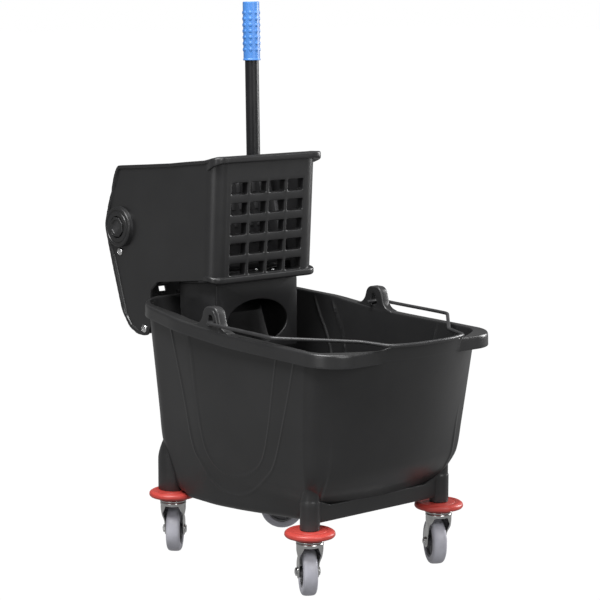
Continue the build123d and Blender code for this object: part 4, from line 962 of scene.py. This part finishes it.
# grille with five rows of four holes
g_top, g_low = float(z_top(face_x(690.0))), float(z_low(face_x(484.0)))
G_T, M_SIDE = 15.0, 9
cell_y = [-90.8, -85.2, -42.6, 0.0, 42.6, 85.2, 90.8]
cell_z = [g_low, 484.0, 519.0, 554.0, 589.0, 624.0, 659.0, g_top]
place_g = lambda u, v, t: (face_x(v) - t, u, v)
b2 = bmesh.new()
for i in range(6):
    for j in range(7):
        y0, y1, z0, z1 = cell_y[i], cell_y[i + 1], cell_z[j], cell_z[j + 1]
        if 1 <= i <= 4 and 1 <= j <= 5:
            f = np.linspace(0, 1, M_SIDE, endpoint=False)
            rect = [(y0 + (y1 - y0) * q, z0) for q in f] + [(y1, z0 + (z1 - z0) * q) for q in f] + [(y1 - (y1 - y0) * q, z1) for q in f] + [(y0, z1 - (z1 - z0) * q) for q in f]
            yc, zc_ = (y0 + y1) / 2, (z0 + z1) / 2

            def hole(o, r):
                """Rounded hole, grown by o, one point for each point of the cell's edge."""
                a, b = 18.0 + o, 10.25 + o
                pts = []
                for y, z in rect:
                    u, v = (y - yc) / (y1 - y0) * 2 * a, (z - zc_) / (z1 - z0) * 2 * b
                    du, dv = abs(u) - (a - r), abs(v) - (b - r)
                    if du > 0 and dv > 0:
                        k = r / hypot(du, dv)
                        u = np.sign(u) * (a - r + du * k)
                        v = np.sign(v) * (b - r + dv * k)
                    pts.append((yc + u, zc_ + v))
                return pts
            rings = [[place_g(u, v, 0.0) for u, v in rect]]
            for o, t in ((1.5, 0.0), (0.75, 0.2), (0.2, 0.75), (0.0, 1.5), (-0.25, 7.0), (-0.5, G_T - 1.0), (-0.2, G_T - 0.3), (0.5, G_T)):
                rings.append([place_g(u, v, t) for u, v in hole(o, 2.2 + o)])
            rings.append([place_g(u, v, G_T) for u, v in rect])
            add_grid(b2, np.array(rings), True)
        else:
            f = np.linspace(0, 1, M_SIDE + 1)
            for t in (0.0, G_T):
                add_grid(b2, np.array([[place_g(y0 + (y1 - y0) * a, z0 + (z1 - z0) * b, t) for a in f] for b in f]), False)
tmp = bpy.data.meshes.new("tmp")
b2.to_mesh(tmp)
b2.free()
bm.from_mesh(tmp)
bpy.data.meshes.remove(tmp)
# edges of the thick plate, tucked behind the lips and the corners
for y0, y1, z0, z1 in ((-92.0, -90.6, g_low, g_top), (90.6, 92.0, g_low, g_top), (-91.0, 91.0, g_low - 0.4, g_low + 0.6), (-91.0, 91.0, g_top - 0.6, g_top + 0.4)):
    P = np.array([[place_g(y0, z0, t), place_g(y1, z0, t), place_g(y1, z1, t), place_g(y0, z1, t)] for t in (0.4, G_T)])
    add_grid(bm, P, True, "flat", "flat")


def lip_path(z, side_g, front_g, swell):
    """Inner and outer edge of a lip round the front of the basket, with how far it has grown and how much of it is front."""
    xf = face_x(z)
    half_path = []
    for f in np.linspace(0, 1, 30):
        u = (sin(f * pi / 2), cos(f * pi / 2))
        g = 26.15 + side_g * float(smoothstep(0.0, 0.35, f)) + (front_g - side_g) * float(smoothstep(0.15, 1.0, f)) + swell * sin(pi * f) ** 2
        half_path.append(((xf - 26.0 + 22.0 * u[0], 92.0 + 22.0 * u[1]), (xf - 26.0 + g * u[0], 92.0 + g * u[1]), 1.0, float(smoothstep(0.0, 0.85, f))))
    mid = [((xf - 4.0, y), (xf + front_g + 0.15, y), 1.0, 1.0) for y in np.linspace(-92.0, 92.0, 40)[1:-1]]
    neg = [((i[0], -i[1]), (o[0], -o[1]), on, fr) for i, o, on, fr in half_path]
    return neg + mid + half_path[::-1]


def add_lip(bm, zmid, side_z, front_z, side_g, front_g, swell):
    rings = []
    for i, o, on, fr in lip_path(zmid, side_g, front_g, swell):
        i, o = np.array(i), np.array(o)
        g = float(np.hypot(*(o - i)))
        e = (o - i) / g
        z0a, z1a = side_z(o[0])
        z0 = z0a + (front_z[0] - z0a) * fr
        z1 = z1a + (front_z[1] - z1a) * fr
        h = (z1 - z0) * (0.30 + 0.70 * on)
        if front_z[0] > 600:
            z0 = z1 - h
        else:
            z1 = z0 + h
        r = min(3.6, 0.48 * (z1 - z0), 0.4 * g)
        sec = rounded_poly([(0.0, z0), (g, z0), (g, z1), (0.0, z1)], [0.2, r, r, 0.2], 6)
        rings.append([(i[0] + e[0] * n, i[1] + e[1] * n, z) for n, z in sec])
    add_grid(bm, np.array(rings), True, "flat", "flat")


add_lip(bm, 692.0, lambda x: (float(z_top(x)) - 19.0, float(z_top(x)) + 0.3), (686.8, 698.6), 0.9, 7.5, 9.5)
add_lip(bm, 484.5, lambda x: (float(z_low(x)) - 0.6, float(z_low(x)) + 9.5), (478.0, 490.4), 0.6, 5.2, 5.5)
# narrow rib beside the back edge of both sides
rib = smooth_path([(-383.0, 507.0), (-381.5, 502.5), (-372.0, 473.5), (-360.5, 439.0), (-349.5, 407.0), (-346.0, 398.5), (-344.0, 395.5)], 10)
for sign in (1, -1):
    rings = []
    for i, (u, v) in enumerate(rib):
        d = rib[min(i + 1, len(rib) - 1)] - rib[max(i - 1, 0)]
        d = d / np.hypot(*d)
        g = float(smoothstep(0, 7, i) * smoothstep(len(rib) - 1, len(rib) - 8, i)) * 0.9 + 0.1
        rings.append([(u - d[1] * 2.0 * g * cos(a), sign * (117.6 + 2.9 * g * sin(a)), v + d[0] * 2.0 * g * cos(a)) for a in np.linspace(0, 2 * pi, 16, endpoint=False)])
    add_grid(bm, np.array(rings), True, "flat", "flat")
# round bosses of the lever axle, inside hubs and hinge bosses
for sign in (1, -1):
    axle = lambda x, y, h, s=sign: (AX + x, s * h, AZ + y)
    up_b = 3.2 if sign < 0 else 0.0
    prof = rounded_poly([(12.1, 116.0), (36.6, 116.0), (36.0, 122.4 + up_b), (34.0, 124.0 + up_b), (30.6, 124.0 + up_b), (29.6, 122.8 + up_b), (28.0, 122.8 + up_b),
                         (27.0, 124.0 + up_b), (19.6, 124.0 + up_b), (19.0, 121.0 + up_b), (12.1, 121.0)], [0, 0, 1.6, 1.6, 0.5, 0.4, 0.4, 0.5, 0.8, 0.3, 0], 4)
    lathe(bm, prof, axle, 96)
    lathe(bm, rounded_poly([(12.1, 106.0), (20.0, 106.0), (20.0, 115.0), (12.1, 115.0)], [0, 0.8, 0, 0], 3), axle, 48)
    hinge = lambda x, y, h, s=sign: (HX + x, s * h, HZ + y)
    lathe(bm, rounded_poly([(5.1, 105.5), (11.0, 105.5), (11.0, 115.0), (5.1, 115.0)], [0, 0.8, 0, 0], 3), hinge, 40)
# floor of the press with drain slots
slots = [rounded_poly([(-158, -66 + 22 * k - 4), (-121, -66 + 22 * k - 4), (-121, -66 + 22 * k + 4), (-158, -66 + 22 * k + 4)], [3.9] * 4, 5) for k in range(7)]
add_plate(bm, [(-232, -94), (-146, -94), (-146, -116), (-106, -116), (-106, 116), (-146, 116), (-146, 94), (-232, 94)], slots,
          lambda u, v, t: (u, v, 479.4 + (u + 150) * 0.1098 + t), 0.0, 4.4, 0.6, 2)
# saddle over the rear rim
rz = float(rim_top(-268.0))
add_block(bm, -275.0, -230.0, -62, 62, rz + 0.8, rz + 4.8, 0.9)
add_block(bm, -275.0, -271.0, -62, 62, rz - 12.0, rz + 4.4, 0.9)
add_block(bm, -234.0, -230.0, -62, 62, rz - 20.0, rz + 4.4, 0.9)
for yy in (-60, 56):
    add_block(bm, -270.0, -225.6, yy, yy + 4, rz + 4.0, 471.5, 0.8)
finish_mesh(bm, "basket", M_WRINGER, "wringer", ["wringer_basket"], 42)

# cap over the blind end of the axle
bm = bmesh.new()
prof = rounded_poly([(0.4, 122.7), (17.6, 122.7), (18.6, 123.6), (18.4, 125.6), (16.9, 126.3), (13.4, 126.3), (12.4, 124.9), (0.4, 124.9)],
                    [0, 0.5, 0.4, 0.5, 0.4, 0.5, 0.4, 0], 3)
lathe(bm, prof, lambda x, y, h: (AX + x * cos(0.3927) - y * sin(0.3927), -h - 3.2, AZ + x * sin(0.3927) + y * cos(0.3927)), 8)
finish_mesh(bm, "cap_octagon", M_CAP, "wringer", ["pivot_cap"], 30)

# apron under the basket with an oval opening
bm = bmesh.new()
oval = [(70 * cos(t), 402 + 40 * sin(t)) for t in np.linspace(0, 2 * pi, 72, endpoint=False)]
add_plate(bm, rounded_poly([(-93, 352), (93, 352), (93, 479.2), (-93, 479.2)], [3, 3, 9, 9], 6), [oval], lambda u, v, t: (t, u, v), -128.0, -124.0, 1.1, 3)
for sign in (1, -1):
    add_plate(bm, rounded_poly([(-125.5, 352), (-125.5, 478.9), (-225, 468.0), (-225, 425), (-196, 352)], [0, 0, 2, 12, 20], 5), [],
              lambda u, v, t: (u, t, v), sign * 89.0, sign * 93.0, 0.9, 2)
    add_plate(bm, [(-223, sign * 68), (-127, sign * 68), (-127, sign * 91), (-223, sign * 91)], [],
              lambda u, v, t: (u, v, 475.0 + (u + 150) * 0.1098 + t), 0.0, 3.9, 0.5, 2)
add_block(bm, -225, -221, -92, 92, 404, 468.2, 0.9)
finish_mesh(bm, "apron", M_WRINGER, "wringer", ["drip_skirt"], 40)

# pan-head cross screws of the rear cover
bm = bmesh.new()
for sign in (1, -1):
    for cx, cz, turn in ((-365.4, 513.4, 0.5), (-296.0, 381.0, 1.1)):
        place_s = lambda x, y, h, s=sign, cx=cx, cz=cz: (cx + x, s * h, cz + y)
        radii = np.concatenate([np.linspace(0.15, 5.4, 30), np.array([5.9, 6.3, 6.7, 7.0, 7.1])])
        a = np.linspace(0, 2 * pi, 96, endpoint=False)
        rings = [[place_s(2.0 * cos(t), 2.0 * sin(t), 108.6) for t in a], [place_s(2.0 * cos(t), 2.0 * sin(t), 118.3) for t in a],
                 [place_s(7.0 * cos(t), 7.0 * sin(t), 118.3) for t in a]]
        for r in radii[::-1]:
            top = 118.6 + 3.4 * sqrt(max(1 - (r / 7.25) ** 2.2, 0.0))
            ring = []
            for t in a:
                u, v = r * cos(t - turn), r * sin(t - turn)
                arm = max(float(smoothstep(1.15, 0.75, abs(u)) * smoothstep(4.2, 3.6, abs(v))),
                          float(smoothstep(1.15, 0.75, abs(v)) * smoothstep(4.2, 3.6, abs(u))))
                ring.append(place_s(r * cos(t), r * sin(t), top - 1.5 * arm))
            rings.append(ring)
        add_grid(bm, np.array(rings), True, "flat", "flat")
finish_mesh(bm, "cover_screw_heads", M_SCREW, "wringer", ["cover_screws"], 40)

# ---------------------------------------------------------------- other pieces
ROUND = {"lever_arm": 1.2, "press_plate": 0.7, "drive_gear_right": 0.35, "drive_gear_left": 0.35,
         "sector_gear_right": 0.4, "sector_gear_left": 0.4, "socket_bolt": 0.3, "hub_bolt": 0.4, "lever_axle": 0.4}
for n, o in nodes.items():
    if o.hide_render:
        continue
    o.data.shade_smooth()
    o.data.set_sharp_from_angle(angle=radians(32))
    if n in ROUND:
        w = o.modifiers.new("weld", "WELD")
        w.merge_threshold = 1e-5
        d = o.modifiers.new("clean", "DECIMATE")
        d.decimate_type = "DISSOLVE"
        d.angle_limit = radians(1.0)
        b = o.modifiers.new("edge", "BEVEL")
        b.width = ROUND[n] * 0.001
        b.segments = 2
        b.limit_method = "ANGLE"
        b.angle_limit = radians(35)
        b.harden_normals = False

# --------------------------------------------------------------- floor, light
fm = bpy.data.materials.new("floor_light")
fm.use_nodes = True
fnt = fm.node_tree
fnt.nodes.clear()
fout = fnt.nodes.new("ShaderNodeOutputMaterial")
fem = fnt.nodes.new("ShaderNodeEmission")
fnt.links.new(fem.outputs[0], fout.inputs["Surface"])
fco = fnt.nodes.new("ShaderNodeTexCoord").outputs["Object"]
fcol = mixed(fnt, ranged(fnt, noise(fnt, fco, 3.0, 3.0), 0.3, 0.7, 0.0, 1.0), (1.0, 1.0, 1.0), (0.985, 0.985, 0.985))
fnt.links.new(fcol, fem.inputs["Color"])
fseen = fnt.nodes.new("ShaderNodeLightPath").outputs["Is Camera Ray"]
# an even floor, bright behind the object and dimmer in what it reflects
fmix = fnt.nodes.new("ShaderNodeMix")
fnt.links.new(fseen, fmix.inputs[0])
fmix.inputs[2].default_value = 0.34
fmix.inputs[3].default_value = 1.03
fnt.links.new(fmix.outputs[0], fem.inputs["Strength"])
fme = bpy.data.meshes.new("floor")
fme.from_pydata([(-40, -40, -0.0005), (40, -40, -0.0005), (40, 40, -0.0005), (-40, 40, -0.0005)], [], [(0, 1, 2, 3)])
fme.materials.append(fm)
floor = bpy.data.objects.new("floor", fme)
scene.collection.objects.link(floor)

world = bpy.data.worlds.new("studio")
scene.world = world
world.use_nodes = True
wnt = world.node_tree
bg = wnt.nodes["Background"]
bg.inputs[0].default_value = (1.0, 1.0, 1.0, 1.0)
# the studio is bright behind the object and dimmer in what it reflects
seen = wnt.nodes.new("ShaderNodeLightPath").outputs["Is Camera Ray"]
wnt.links.new(ranged(wnt, seen, 0.0, 1.0, 0.17, 1.0), bg.inputs[1])


def area(name, at, to, size, power, colour=(1, 1, 1)):
    d = bpy.data.lights.new(name, "AREA")
    d.shape = "RECTANGLE"
    d.size, d.size_y = size
    d.energy = power
    d.color = colour
    o = bpy.data.objects.new(name, d)
    o.location = at
    o.rotation_euler = (Vector(to) - Vector(at)).to_track_quat("-Z", "Y").to_euler()
    scene.collection.objects.link(o)
    return o


area("top", (0.25, -0.1, 2.7), (0.05, 0.0, 0.3), (1.8, 1.8), 50)
area("over", (0.42, -1.45, 2.4), (0.03, 0.08, 0.36), (1.5, 1.1), 76)
area("key", (2.5, -0.3, 1.5), (0.15, 0.05, 0.15), (1.3, 1.4), 32)
area("side", (0.75, -2.6, 0.75), (0.0, -0.1, 0.4), (1.1, 1.3), 8)
area("back", (0.7, 2.5, 1.2), (0.12, 0.05, 0.2), (1.0, 1.5), 66)

# --------------------------------------------------------------------- camera
cam = bpy.data.cameras.new("camera")
cam_o = bpy.data.objects.new("camera", cam)
scene.collection.objects.link(cam_o)
ca, ce, cf, ccx, ccy = radians(48.67), radians(8.53), 2102.9, 284.52, 307.82
C = Vector((2652.3 + SX, -2378.2, 974.4 + SZ)) / 1000
back = Vector((sin(ca) * cos(ce), -cos(ca) * cos(ce), sin(ce)))
right = Vector((cos(ca), sin(ca), 0))
up = back.cross(right)
cam_o.matrix_world = Matrix(((right.x, up.x, back.x, C.x), (right.y, up.y, back.y, C.y), (right.z, up.z, back.z, C.z), (0, 0, 0, 1)))
cam.sensor_width = 36
cam.lens = cf / 600 * 36
cam.shift_x = (300 - ccx) / 600
cam.shift_y = (ccy - 300) / 600
cam.clip_end = 60
scene.camera = cam_o
scene.view_settings.view_transform = "Standard"
scene.view_settings.look = "None"
